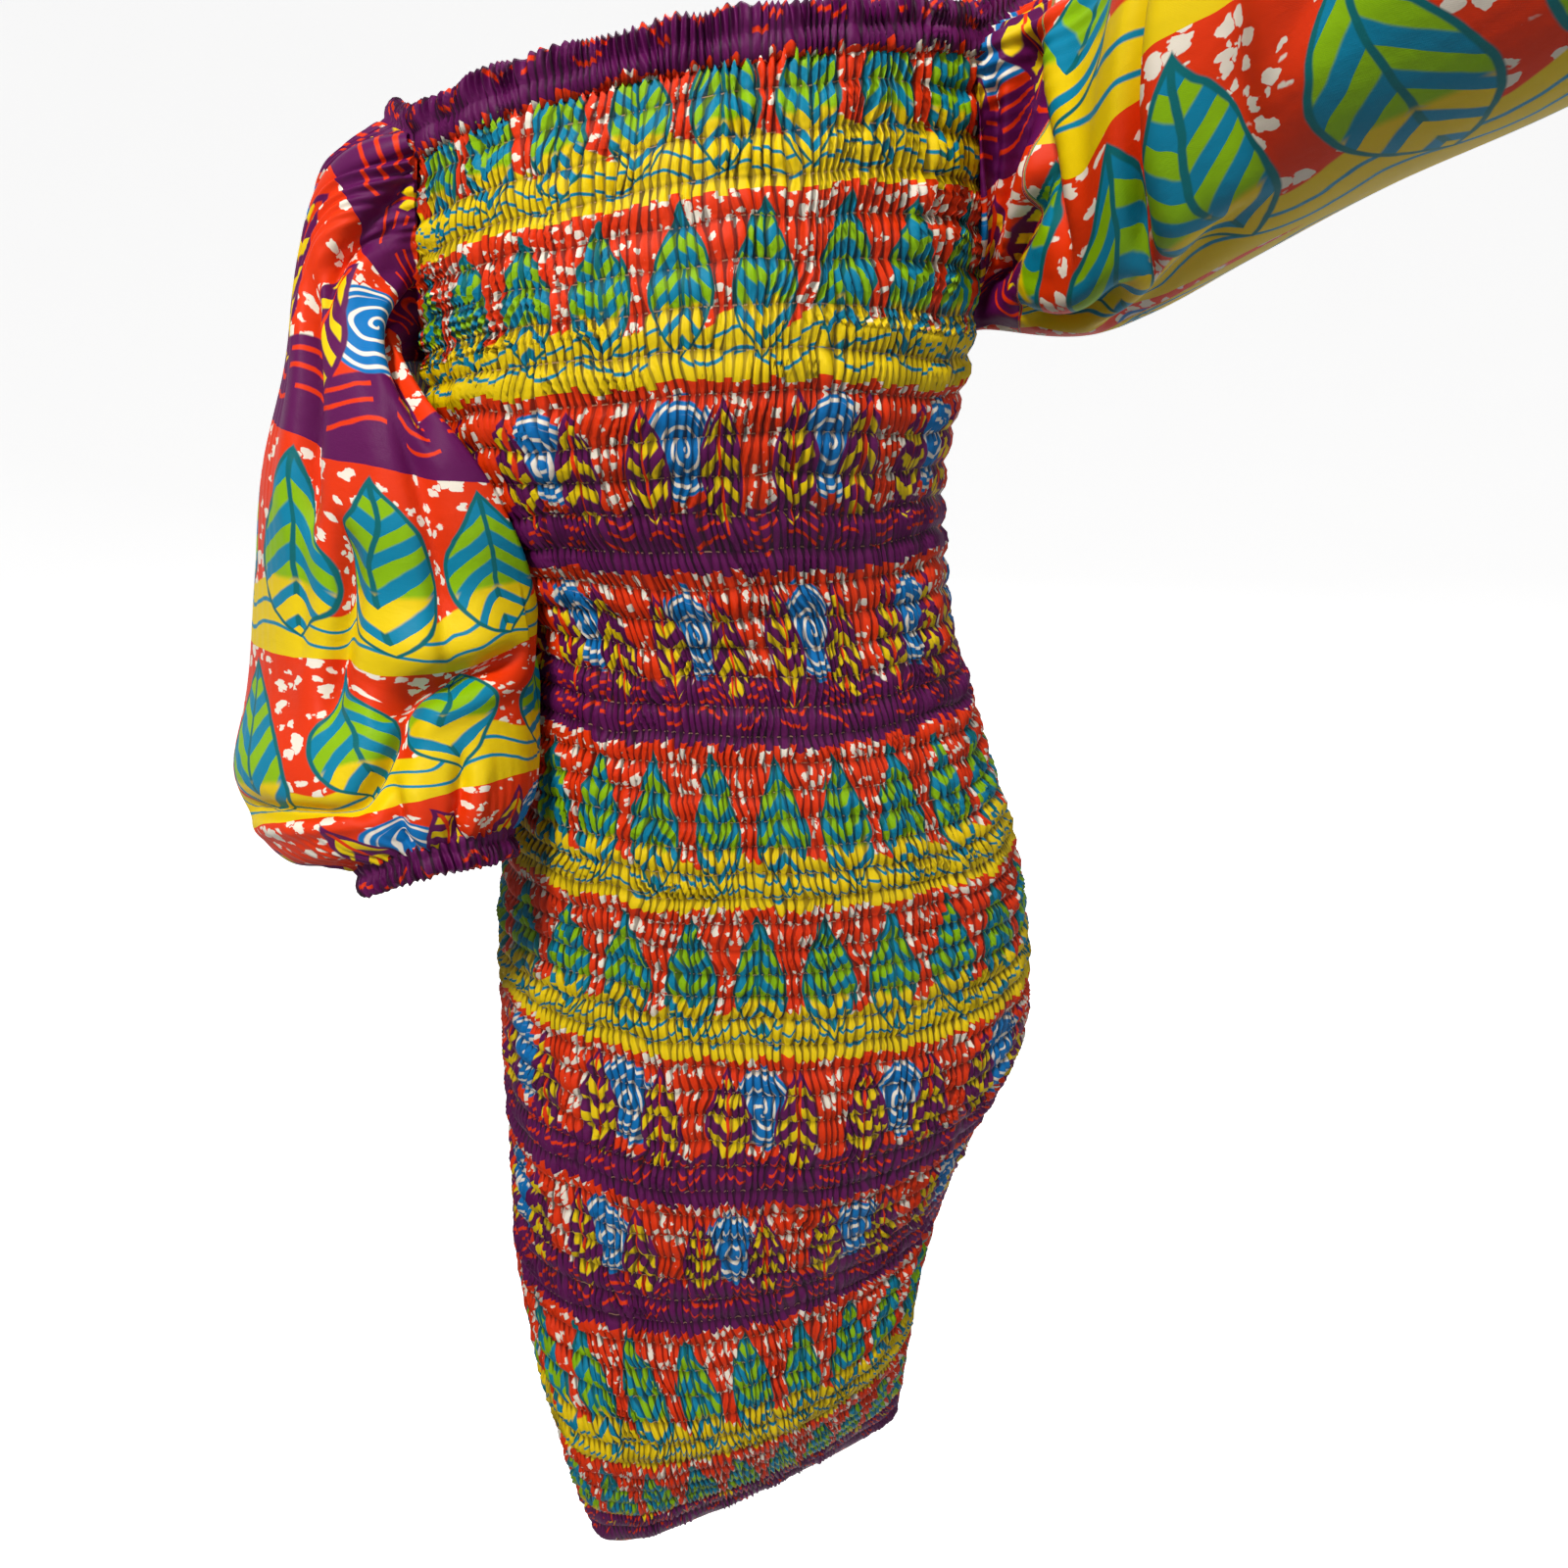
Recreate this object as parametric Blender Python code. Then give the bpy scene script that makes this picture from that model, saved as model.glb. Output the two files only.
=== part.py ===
"""An off-shoulder midi dress in printed cotton, in its worn shape with nobody inside.

The body is a tube of cloth that is shirred all over with rows of elastic thread. Two full bishop
sleeves are gathered into a narrow elastic casing round the neck and into elastic cuffs. The right
sleeve hangs with its elbow a little out, and the left one is raised forwards.

Frame: the origin is the middle of the tube at underarm height. The front faces -Y, up is +Z and
the wearer's left side is +X. Sizes are in metres and angles in degrees.
"""

import math
from collections import namedtuple

import bmesh
import bpy
from mathutils import Vector

# Cloth walls and the gap that is left at each seam
WALL = 0.0020
SEAM_GAP = 0.0003

# Shirring: the cloth puffs out between rows of elastic stitches, a little unevenly
PUFF_HEIGHT = 0.0187
PUFF_COUNT = 50
PUFF_PROUD = 0.0022
GATHER_STEP = 0.0008
PANEL_COLUMNS = 16
RING_STEP = PUFF_HEIGHT / 2
RING_COUNT = 2 * PUFF_COUNT
INNER_RING_STRIDE = 2

# Armholes: they start at the origin's height and cut this far in from the side at the neck line
UNDERARM_RING = 13
NECK_LINE = UNDERARM_RING * RING_STEP
ARMHOLE_TURN = 25.0
ARMHOLE_POWER = 0.55

# Elastic casings: height, how far the gathers stand out by turns, and their uneven free edge
CASING_HEIGHT = 0.0140
CASING_PROUD = (0.0020, 0.0042)
CASING_EDGE = (0.0, 0.0012)
CASING_MOUTH = 0.35

# Sleeves: rings from armhole to cuff, how the cloth leaves the armhole seam, gathers at both ends,
# and the room left beside the body, with more of it at the underarm
NECK_ARC_STEPS = 8
SLEEVE_PLACES = (0.03, 0.07, 0.12, 0.18, 0.24, 0.31, 0.38, 0.46, 0.54, 0.62, 0.70, 0.78, 0.85, 0.91)
SEAM_RUN = 0.040
SEAM_LEAN = 35.0
SLEEVE_LET_GO = 0.24
SLEEVE_STEP = 0.02
SLEEVE_CLEARS = 0.16
NECK_GATHER = 0.0022
CUFF_GATHER = 0.0024
GATHER_REACH = 0.22
BODY_ROOM = WALL + PUFF_PROUD + GATHER_STEP + WALL + 0.0030
UNDERARM_ROOM = 0.010
UNDERARM_REACH = 0.07

# Sections of the dress from the neck line to the hem, as worn on a general figure with the right
# leg forward. Centre and shift place the section along X and Y, turn swings its right side
# forwards, lift raises the rows at the front, and slope tilts them up towards the raised arm.
Section = namedtuple("Section", "height centre shift half_width front back turn lift slope")
BODY = [
    Section(0.140, 0.000, 0.000, 0.150, 0.097, 0.092, 0, 0.008, 0.173),
    Section(0.070, -0.001, 0.000, 0.153, 0.110, 0.100, 0, 0.014, 0.125),
    Section(0.000, -0.003, 0.000, 0.152, 0.120, 0.105, 0, 0.018, 0.060),
    Section(-0.035, -0.005, 0.000, 0.148, 0.121, 0.101, 0, 0.015, 0.045),
    Section(-0.075, -0.004, 0.000, 0.141, 0.110, 0.095, 0, 0.010, 0.028),
    Section(-0.110, 0.003, 0.000, 0.136, 0.098, 0.091, 0, 0.005, 0.015),
    Section(-0.155, 0.015, 0.000, 0.131, 0.090, 0.088, 0, 0.000, 0.000),
    Section(-0.220, 0.022, 0.000, 0.144, 0.098, 0.095, 0, 0.000, 0.000),
    Section(-0.300, 0.028, 0.000, 0.166, 0.108, 0.114, 0, 0.000, 0.000),
    Section(-0.380, 0.031, 0.000, 0.181, 0.112, 0.128, 0, 0.000, 0.000),
    Section(-0.460, 0.030, -0.008, 0.183, 0.120, 0.126, 1, 0.000, 0.000),
    Section(-0.530, 0.017, -0.017, 0.168, 0.122, 0.118, 7, 0.000, 0.000),
    Section(-0.610, 0.006, -0.028, 0.159, 0.115, 0.110, 15, 0.002, 0.022),
    Section(-0.700, 0.009, -0.078, 0.138, 0.086, 0.108, 23, 0.010, 0.030),
    Section(-0.820, 0.021, -0.090, 0.126, 0.042, 0.100, 27, 0.030, -0.010),
]

# Stops along each sleeve. Under and over are opposite points of a ring, under being the side of
# the underarm seam. Front and back are its half widths across them, and the front direction is -Y
# turned towards -X and raised.
Stop = namedtuple("Stop", "under over front back turn rise")
RIGHT_STOPS = [
    Stop((-0.155, 0.000, 0.000), (-0.168, 0.005, 0.110), 0.050, 0.050, 0, 0),
    Stop((-0.166, -0.012, 0.004), (-0.187, 0.004, 0.084), 0.050, 0.046, 0, 0),
    Stop((-0.148, -0.046, -0.010), (-0.201, 0.015, 0.044), 0.048, 0.060, 0, 0),
    Stop((-0.118, -0.082, -0.038), (-0.218, 0.025, -0.006), 0.056, 0.070, 0, 0),
    Stop((-0.104, -0.088, -0.078), (-0.242, 0.028, -0.062), 0.068, 0.072, 0, 0),
    Stop((-0.103, -0.082, -0.120), (-0.260, 0.020, -0.120), 0.070, 0.072, 0, 0),
    Stop((-0.104, -0.080, -0.158), (-0.272, 0.000, -0.178), 0.072, 0.070, 0, 5),
    Stop((-0.105, -0.086, -0.190), (-0.276, -0.036, -0.228), 0.073, 0.070, 0, 10),
    Stop((-0.104, -0.094, -0.216), (-0.266, -0.068, -0.262), 0.067, 0.066, 0, 15),
    Stop((-0.106, -0.100, -0.236), (-0.244, -0.090, -0.279), 0.058, 0.057, 0, 20),
    Stop((-0.113, -0.104, -0.248), (-0.217, -0.097, -0.279), 0.049, 0.048, 0, 22),
    Stop((-0.121, -0.104, -0.257), (-0.200, -0.100, -0.280), 0.041, 0.041, 0, 22),
]
LEFT_STOPS = [
    Stop((0.149, 0.000, 0.000), (0.186, -0.002, 0.174), 0.050, 0.050, 0, 0),
    Stop((0.170, -0.010, 0.000), (0.210, -0.014, 0.184), 0.040, 0.046, 8, 0),
    Stop((0.203, -0.038, 0.008), (0.228, -0.042, 0.206), 0.060, 0.058, 28, 0),
    Stop((0.230, -0.072, 0.024), (0.240, -0.073, 0.229), 0.074, 0.072, 42, 0),
    Stop((0.256, -0.108, 0.047), (0.257, -0.101, 0.250), 0.080, 0.078, 50, 0),
    Stop((0.299, -0.150, 0.077), (0.278, -0.131, 0.270), 0.082, 0.080, 50, 0),
    Stop((0.345, -0.200, 0.104), (0.302, -0.161, 0.288), 0.082, 0.080, 50, 0),
    Stop((0.390, -0.250, 0.140), (0.325, -0.187, 0.300), 0.080, 0.078, 52, 0),
    Stop((0.414, -0.284, 0.180), (0.345, -0.209, 0.312), 0.076, 0.074, 53, 0),
    Stop((0.422, -0.303, 0.222), (0.364, -0.232, 0.322), 0.064, 0.062, 53, 0),
    Stop((0.421, -0.308, 0.248), (0.379, -0.254, 0.324), 0.050, 0.050, 53, 0),
    Stop((0.419, -0.307, 0.262), (0.386, -0.264, 0.326), 0.041, 0.041, 53, 0),
]

# How far the cloth at the neck edge faces upwards where it passes over each arm
RIGHT_NECK_TILT = 32.0
LEFT_NECK_TILT = 60.0

# Main folds of each sleeve: the angle round the ring from the underarm over the front, how that
# angle moves along the fold, where along the sleeve it runs, its depth and its half width.
Fold = namedtuple("Fold", "angle drift start end depth width")
RIGHT_FOLDS = [
    Fold(118, -8, 0.42, 0.86, 0.0070, 17),
    Fold(60, -14, 0.50, 0.92, 0.0080, 16),
    Fold(165, 10, 0.10, 0.55, 0.0045, 18),
    Fold(232, 6, 0.30, 0.85, 0.0070, 20),
    Fold(300, -10, 0.35, 0.90, 0.0060, 18),
]
LEFT_FOLDS = [
    Fold(40, 40, 0.08, 0.42, 0.0075, 15),
    Fold(82, 26, 0.12, 0.50, 0.0070, 15),
    Fold(24, 14, 0.22, 0.66, 0.0070, 15),
    Fold(140, 6, 0.20, 0.62, 0.0050, 18),
    Fold(235, -6, 0.18, 0.80, 0.0070, 20),
    Fold(310, -12, 0.25, 0.88, 0.0070, 18),
]

# Base colour and roughness of each piece of cloth
FINISH = {
    "front_panel": ((0.83, 0.13, 0.03), 0.62),
    "back_panel": ((0.78, 0.14, 0.03), 0.62),
    "right_sleeve": ((0.86, 0.66, 0.03), 0.58),
    "left_sleeve": ((0.82, 0.62, 0.04), 0.58),
    "neck_band": ((0.20, 0.03, 0.14), 0.62),
    "right_cuff": ((0.20, 0.03, 0.13), 0.62),
    "left_cuff": ((0.21, 0.03, 0.14), 0.62),
}


def ease(value):
    """Runs from 0 to 1 with level ends."""
    value = min(1.0, max(0.0, value))
    return value * value * (3.0 - 2.0 * value)


def smooth_value(places, values, at):
    """Reads a smooth curve through the values, which stand at rising places."""
    last = len(places) - 1
    at = min(max(at, places[0]), places[last])
    span = next(i for i in range(last) if at <= places[i + 1])

    def slope(i):
        low = max(i - 1, 0)
        high = min(i + 1, last)
        return (values[high] - values[low]) / (places[high] - places[low])

    width = places[span + 1] - places[span]
    t = (at - places[span]) / width
    start = values[span] * (2 * t**3 - 3 * t**2 + 1) + slope(span) * width * (t**3 - 2 * t**2 + t)
    end = values[span + 1] * (3 * t**2 - 2 * t**3) + slope(span + 1) * width * (t**3 - t**2)
    return start + end


def section_at(height):
    """The dress's section at a height, on smooth curves through the table."""
    rows = BODY[::-1]
    places = [row.height for row in rows]
    columns = [[row[i] for row in rows] for i in range(1, len(Section._fields))]
    return Section(height, *(smooth_value(places, column, height) for column in columns))


def body_point(angle, height, out):
    """A point of the body tube. The angle is 0 at the middle of the front and 90 at the left side."""
    row = section_at(height)
    sine = math.sin(math.radians(angle))
    cosine = math.cos(math.radians(angle))
    depth = row.front if cosine > 0 else row.back
    outward = Vector((sine / row.half_width, -cosine / depth, 0.0)).normalized()
    flat = Vector((row.half_width * sine, -depth * cosine, 0.0)) + out * outward
    turn = math.radians(row.turn)
    x = row.centre + flat.x * math.cos(turn) - flat.y * math.sin(turn)
    y = row.shift + flat.x * math.sin(turn) + flat.y * math.cos(turn)
    z = height + row.lift * max(0.0, cosine) ** 2 + row.slope * x
    return Vector((x, y, z))


def ring_height(ring):
    return NECK_LINE - ring * RING_STEP


def armhole_turn(ring):
    """How far the armhole cuts in from the side line at a ring, in degrees."""
    above = max(0.0, ring_height(ring)) / NECK_LINE
    return ARMHOLE_TURN * above**ARMHOLE_POWER


def panel_span(facing, ring):
    """The angles at which a panel's two side edges stand, half a seam gap in from the seam."""
    gap = math.degrees(SEAM_GAP / 2 / section_at(ring_height(ring)).half_width)
    half = 90.0 - armhole_turn(ring) - gap
    middle = 0.0 if facing == "front" else 180.0
    return middle - half, middle + half


def puff(ring, column):
    """How far the cloth stands out from the plain wall: in at the stitches, out between them."""
    at_edge = column in (0, PANEL_COLUMNS) or ring in (0, RING_COUNT)
    if ring % 2 == 0 or at_edge:
        return 0.0
    side = 1 if (column + ring // 2) % 2 else -1
    return PUFF_PROUD + side * GATHER_STEP


def panel_row(facing, ring, outside):
    left, right = panel_span(facing, ring)
    row = []
    for column in range(PANEL_COLUMNS + 1):
        angle = left + (right - left) * column / PANEL_COLUMNS
        out = WALL + puff(ring, column) if outside else 0.0
        row.append(body_point(angle, ring_height(ring), out))
    return row


def new_object(name, points, faces):
    """Makes one closed body from points and faces, with its own plain cloth material."""
    mesh = bpy.data.meshes.new(name)
    mesh.from_pydata([tuple(point) for point in points], [], faces)
    work = bmesh.new()
    work.from_mesh(mesh)
    bmesh.ops.recalc_face_normals(work, faces=work.faces)
    work.to_mesh(mesh)
    work.free()
    mesh.shade_smooth()
    colour, roughness = FINISH[name]
    material = bpy.data.materials.new(name + "_cloth")
    material.use_nodes = True
    shader = material.node_tree.nodes["Principled BSDF"]
    shader.inputs["Base Color"].default_value = (*colour, 1.0)
    shader.inputs["Roughness"].default_value = roughness
    shader.inputs["Metallic"].default_value = 0.0
    mesh.materials.append(material)
    piece = bpy.data.objects.new(name, mesh)
    bpy.context.scene.collection.objects.link(piece)
    return piece


def grid_faces(rows, close):
    """Quads over rows of point numbers. A closed grid joins each row's end to its start."""
    faces = []
    count = len(rows[0])
    for upper, lower in zip(rows, rows[1:]):
        for i in range(count if close else count - 1):
            j = (i + 1) % count
            faces.append((upper[i], upper[j], lower[j], lower[i]))
    return faces


def zip_faces(chain, other):
    """Triangles between two edges that run down together. Each is a list of (height, number)."""
    faces = []
    i = j = 0
    while i < len(chain) - 1 or j < len(other) - 1:
        down_chain = j == len(other) - 1
        if i < len(chain) - 1 and not down_chain:
            down_chain = chain[i + 1][0] >= other[j + 1][0]
        if down_chain:
            faces.append((chain[i][1], chain[i + 1][1], other[j][1]))
            i += 1
        else:
            faces.append((chain[i][1], other[j + 1][1], other[j][1]))
            j += 1
    return faces


def make_panel(name, facing):
    """A shirred wall: a puffed outside over a plain inside, closed along its four edges."""
    outer_rings = list(range(RING_COUNT + 1))
    inner_rings = list(range(UNDERARM_RING + 1))
    inner_rings += list(range(RING_COUNT, UNDERARM_RING, -INNER_RING_STRIDE))[::-1]
    points = []
    numbers = []
    for rings, outside in ((outer_rings, True), (inner_rings, False)):
        rows = []
        for ring in rings:
            rows.append(list(range(len(points), len(points) + PANEL_COLUMNS + 1)))
            points += panel_row(facing, ring, outside)
        numbers.append(rows)
    outer, inner = numbers
    faces = grid_faces(outer, False) + grid_faces(inner, False)
    faces += grid_faces([outer[0], inner[0]], False) + grid_faces([outer[-1], inner[-1]], False)
    for edge in (0, PANEL_COLUMNS):
        outer_edge = [(ring_height(r), row[edge]) for r, row in zip(outer_rings, outer)]
        inner_edge = [(ring_height(r), row[edge]) for r, row in zip(inner_rings, inner)]
        faces += zip_faces(outer_edge, inner_edge)
    return new_object(name, points, faces)


def armhole_edge(side, facing):
    """Root points of a sleeve up one armhole edge, as (inside, outside, way the cloth runs)."""
    which = 1 if (side > 0) == (facing == "front") else 0
    edge = []
    for ring in range(UNDERARM_RING - 1, -1, -1):
        angle = panel_span(facing, ring)[which]
        inside = body_point(angle, ring_height(ring), 0.0)
        outside = body_point(angle, ring_height(ring), WALL)
        below = body_point(panel_span(facing, ring + 1)[which], ring_height(ring + 1), 0.0)
        away = (inside - below).cross(outside - inside).normalized()
        if away.x * side < 0:
            away = -away
        if ring == 0:
            away = Vector((away.x, away.y, 0.0)).normalized()
        edge.append((inside + SEAM_GAP * away, outside + SEAM_GAP * away, away))
    return edge


def sleeve_root(side, stops, tilt):
    """The closed loop where a sleeve starts: up the front armhole, over the arm, down the back."""
    up = Vector((0.0, 0.0, 1.0))
    underarm = [body_point(90.0 * side, SEAM_GAP, out) for out in (0.0, WALL)]
    front = armhole_edge(side, "front")
    back = armhole_edge(side, "back")
    start, end = front[-1][0], back[-1][0]
    bulge = Vector(stops[0].over) - (start + end) / 2
    arc = []
    for step in range(1, NECK_ARC_STEPS):
        t = step / NECK_ARC_STEPS
        inside = start.lerp(end, t) + bulge * math.sin(math.pi * t)
        along = end - start + bulge * math.pi * math.cos(math.pi * t)
        level = side * Vector((along.y, -along.x, 0.0)).normalized()
        lean = math.radians(tilt) * math.sin(math.pi * t)
        outward = level * math.cos(lean) + up * math.sin(lean)
        arc.append((inside, inside + WALL * outward, level * math.sin(lean) - up * math.cos(lean)))
    return [(underarm[0], underarm[1], up)] + front + arc + back[::-1]


def stop_at(stops, place):
    """One ring of a sleeve's table at any place from 0 to 1."""
    places = [i / (len(stops) - 1) for i in range(len(stops))]

    def read(values):
        return smooth_value(places, values, place)

    under = Vector([read([stop.under[i] for stop in stops]) for i in range(3)])
    over = Vector([read([stop.over[i] for stop in stops]) for i in range(3)])
    rest = [read([stop[i] for stop in stops]) for i in range(2, len(Stop._fields))]
    return Stop(under, over, *rest)


def ring_point(stop, angle, out):
    """A point of a sleeve ring. The angle is 0 at the underarm side and 90 at the front."""
    middle = (stop.under + stop.over) / 2
    down = stop.under - middle
    turn = math.radians(stop.turn)
    rise = math.radians(stop.rise)
    front = Vector((-math.sin(turn), -math.cos(turn) * math.cos(rise), math.sin(rise)))
    front -= front.project(down)
    front.normalize()
    width = stop.front if math.sin(angle) > 0 else stop.back
    spoke = math.cos(angle) * down + math.sin(angle) * width * front
    return middle + spoke + out * spoke.normalized()


def fold_depth(folds, place, angle):
    """How far the cloth sinks into the sleeve's main folds."""
    depth = 0.0
    for fold in folds:
        run = (place - fold.start) / (fold.end - fold.start)
        if 0.0 < run < 1.0:
            middle = fold.angle + fold.drift * run
            across = (math.degrees(angle) - middle + 180.0) % 360.0 - 180.0
            depth += fold.depth * math.sin(math.pi * run) * math.exp(-((across / fold.width) ** 2))
    return depth


def clear_of_body(point, place):
    """Moves a point of a sleeve out until it clears the shirred body beside it."""
    if point.z < BODY[-1].height:
        return point
    row = section_at(point.z)
    near_underarm = 1 - ease(abs(point.z) / UNDERARM_REACH)
    room = (BODY_ROOM + UNDERARM_ROOM * near_underarm) * ease(place / SLEEVE_CLEARS)
    depth = row.front if point.y < 0 else row.back
    x = (point.x - row.centre) / (row.half_width + room)
    y = point.y / (depth + room)
    reach = min(1.0, math.hypot(x, y))
    return Vector((row.centre + (point.x - row.centre) / reach, point.y / reach, point.z))


def free_point(stops, folds, place, column, angle):
    """A point of a sleeve's table with its folds, and with gathers at both ends."""
    by_turns = 1 if column % 2 else -1
    at_neck = max(0.0, -math.cos(angle)) * (1 - ease(place / GATHER_REACH))
    at_cuff = ease((place - 1 + GATHER_REACH) / GATHER_REACH)
    out = by_turns * (NECK_GATHER * at_neck + CUFF_GATHER * at_cuff * (place < 1))
    out -= fold_depth(folds, place, angle)
    return ring_point(stop_at(stops, place), angle, out)


def sleeve_point(root, stops, folds, place, column, angle):
    """A point of a sleeve, on a smooth run from the armhole seam into the free part."""
    if place >= SLEEVE_LET_GO:
        return clear_of_body(free_point(stops, folds, place, column, angle), place)
    inside, outside, run = root[column]
    out = (outside - inside).normalized()
    lean = math.radians(SEAM_LEAN)
    start = SEAM_RUN * (run * math.cos(lean) + out * math.sin(lean))
    goal = clear_of_body(free_point(stops, folds, SLEEVE_LET_GO, column, angle), 1.0)
    beyond = SLEEVE_LET_GO + SLEEVE_STEP
    after = clear_of_body(free_point(stops, folds, beyond, column, angle), 1.0)
    end = (after - goal) * SLEEVE_LET_GO / SLEEVE_STEP
    t = place / SLEEVE_LET_GO
    point = inside * (2 * t**3 - 3 * t**2 + 1) + start * (t**3 - 2 * t**2 + t)
    point += goal * (3 * t**2 - 2 * t**3) + end * (t**3 - t**2)
    return clear_of_body(point, place)


def sleeve_grid(root, stops, folds):
    """The inside of a sleeve as rings of points, from the armhole loop to the cuff."""
    insides = [inside for inside, outside, run in root]
    lengths = [0.0]
    for i in range(len(root)):
        step = (insides[(i + 1) % len(root)] - insides[i]).length
        lengths.append(lengths[-1] + step)
    angles = [2 * math.pi * length / lengths[-1] for length in lengths[:-1]]
    rings = [insides]
    for place in SLEEVE_PLACES + (1.0,):
        row = []
        for column, angle in enumerate(angles):
            row.append(sleeve_point(root, stops, folds, place, column, angle))
        rings.append(row)
    return rings


def grid_normal(rings, ring, column):
    """The direction across the cloth at one point of a grid of closed rings."""
    count = len(rings[0])
    before = rings[max(ring - 1, 0)][column]
    after = rings[min(ring + 1, len(rings) - 1)][column]
    across = rings[ring][(column + 1) % count] - rings[ring][column - 1]
    return (after - before).cross(across).normalized()


def make_sleeve(name, side, root, stops, folds):
    """A sleeve wall from its inside rings and the same rings moved out by the cloth's thickness."""
    inside = sleeve_grid(root, stops, folds)
    outside = [[point for inner, point, run in root]]
    for ring in range(1, len(inside)):
        row = []
        for column, point in enumerate(inside[ring]):
            row.append(point + side * WALL * grid_normal(inside, ring, column))
        outside.append(row)
    points = []
    numbers = []
    for rings in (outside, inside):
        rows = []
        for ring in rings:
            rows.append(list(range(len(points), len(points) + len(ring))))
            points += ring
        numbers.append(rows)
    outer, inner = numbers
    faces = grid_faces(outer, True) + grid_faces(inner, True)
    faces += grid_faces([outer[0], inner[0]], True) + grid_faces([outer[-1], inner[-1]], True)
    new_object(name, points, faces)
    along = sleeve_end_direction(stops)
    return [(inner, outer, along) for inner, outer in zip(inside[-1], outside[-1])]


def sleeve_end_direction(stops):
    """The way a sleeve points where its cuff starts."""
    last = stop_at(stops, 1.0)
    down = last.under - last.over
    turn = math.radians(last.turn)
    rise = math.radians(last.rise)
    front = Vector((-math.sin(turn), -math.cos(turn) * math.cos(rise), math.sin(rise)))
    along = down.cross(front).normalized()
    before = stop_at(stops, 0.7)
    travel = (last.under + last.over) - (before.under + before.over)
    return along if along.dot(travel) > 0 else -along


def halve_steps(rim):
    """Puts a point halfway between each two points of a closed rim."""
    finer = []
    for here, after in zip(rim, rim[1:] + rim[:1]):
        finer.append(here)
        finer.append(tuple(a.lerp(b, 0.5) for a, b in zip(here, after)))
    return finer


def make_casing(name, rim):
    """A gathered elastic casing on a rim of (inside, outside, up), a seam gap clear of it."""
    points = []
    rows = []
    for i, (inside, outside, up) in enumerate(rim):
        out = (outside - inside).normalized()
        proud = CASING_PROUD[i % 2]
        top = CASING_HEIGHT + CASING_EDGE[i % 2]
        rows.append(list(range(len(points), len(points) + 5)))
        points += [
            outside + up * SEAM_GAP,
            inside + up * SEAM_GAP,
            inside + up * top,
            outside + out * proud * CASING_MOUTH + up * top,
            outside + out * proud + up * CASING_HEIGHT / 2,
        ]
    faces = grid_faces(rows + rows[:1], True)
    return new_object(name, points, faces)


def upwards(inside, outside):
    """The way up along the cloth at a neck edge."""
    out = (outside - inside).normalized()
    up = Vector((0.0, 0.0, 1.0))
    return (up - up.project(out)).normalized()


def neck_rim(roots):
    """The neck edge as (inside, outside, up): front panel, left arm, back panel, right arm."""
    pairs = []
    for facing, side in (("front", 1), ("back", -1)):
        pairs += list(zip(panel_row(facing, 0, False), panel_row(facing, 0, True)))
        arc = roots[side][UNDERARM_RING + 1 : UNDERARM_RING + NECK_ARC_STEPS]
        pairs += [(inside, outside) for inside, outside, run in arc[::side]]
    return [(inside, outside, upwards(inside, outside)) for inside, outside in pairs]


def make_dress():
    make_panel("front_panel", "front")
    make_panel("back_panel", "back")
    roots = {
        -1: sleeve_root(-1, RIGHT_STOPS, RIGHT_NECK_TILT),
        1: sleeve_root(1, LEFT_STOPS, LEFT_NECK_TILT),
    }
    sleeves = (("right", -1, RIGHT_STOPS, RIGHT_FOLDS), ("left", 1, LEFT_STOPS, LEFT_FOLDS))
    for word, side, stops, folds in sleeves:
        cuff_rim = make_sleeve(word + "_sleeve", side, roots[side], stops, folds)
        make_casing(word + "_cuff", cuff_rim)
    make_casing("neck_band", halve_steps(neck_rim(roots)))


for old in list(bpy.data.objects):
    bpy.data.objects.remove(old)
make_dress()
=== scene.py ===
"""The finished look of an off-shoulder shirred midi dress in wax print cotton."""

import math

import bpy
import numpy as np
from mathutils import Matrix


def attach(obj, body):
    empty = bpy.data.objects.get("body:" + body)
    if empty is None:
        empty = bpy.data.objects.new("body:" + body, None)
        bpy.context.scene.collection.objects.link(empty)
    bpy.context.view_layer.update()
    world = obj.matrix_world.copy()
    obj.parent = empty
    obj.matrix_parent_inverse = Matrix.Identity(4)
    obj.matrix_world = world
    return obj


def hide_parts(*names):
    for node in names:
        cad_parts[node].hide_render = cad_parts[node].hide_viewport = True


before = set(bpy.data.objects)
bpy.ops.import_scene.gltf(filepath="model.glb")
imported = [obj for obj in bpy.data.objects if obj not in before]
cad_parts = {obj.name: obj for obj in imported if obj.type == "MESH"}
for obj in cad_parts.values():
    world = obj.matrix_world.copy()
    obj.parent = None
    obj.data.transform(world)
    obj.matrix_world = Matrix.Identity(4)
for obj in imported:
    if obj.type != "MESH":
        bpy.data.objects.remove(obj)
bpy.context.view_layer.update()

# Sizes are in metres and angles in degrees. Heights count from the underarm
WALL = 0.0020
ROW_OF_SOLID = 0.0187
ROOT_STEP = ROW_OF_SOLID / 2
UNDERARM_RING = 13
HEM_ROW = 50
NECK_LINE = UNDERARM_RING * ROOT_STEP
HEM_LINE = NECK_LINE - HEM_ROW * ROW_OF_SOLID
ARMHOLE_TURN = 25.0
ARMHOLE_POWER = 0.55
UP = np.array([0.0, 0.0, 1.0])

# Gaps between sewn edges: between pieces, and at each side of a panel
SEAM_GAP = 0.0003
SEAM_TURN = 0.06

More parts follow.
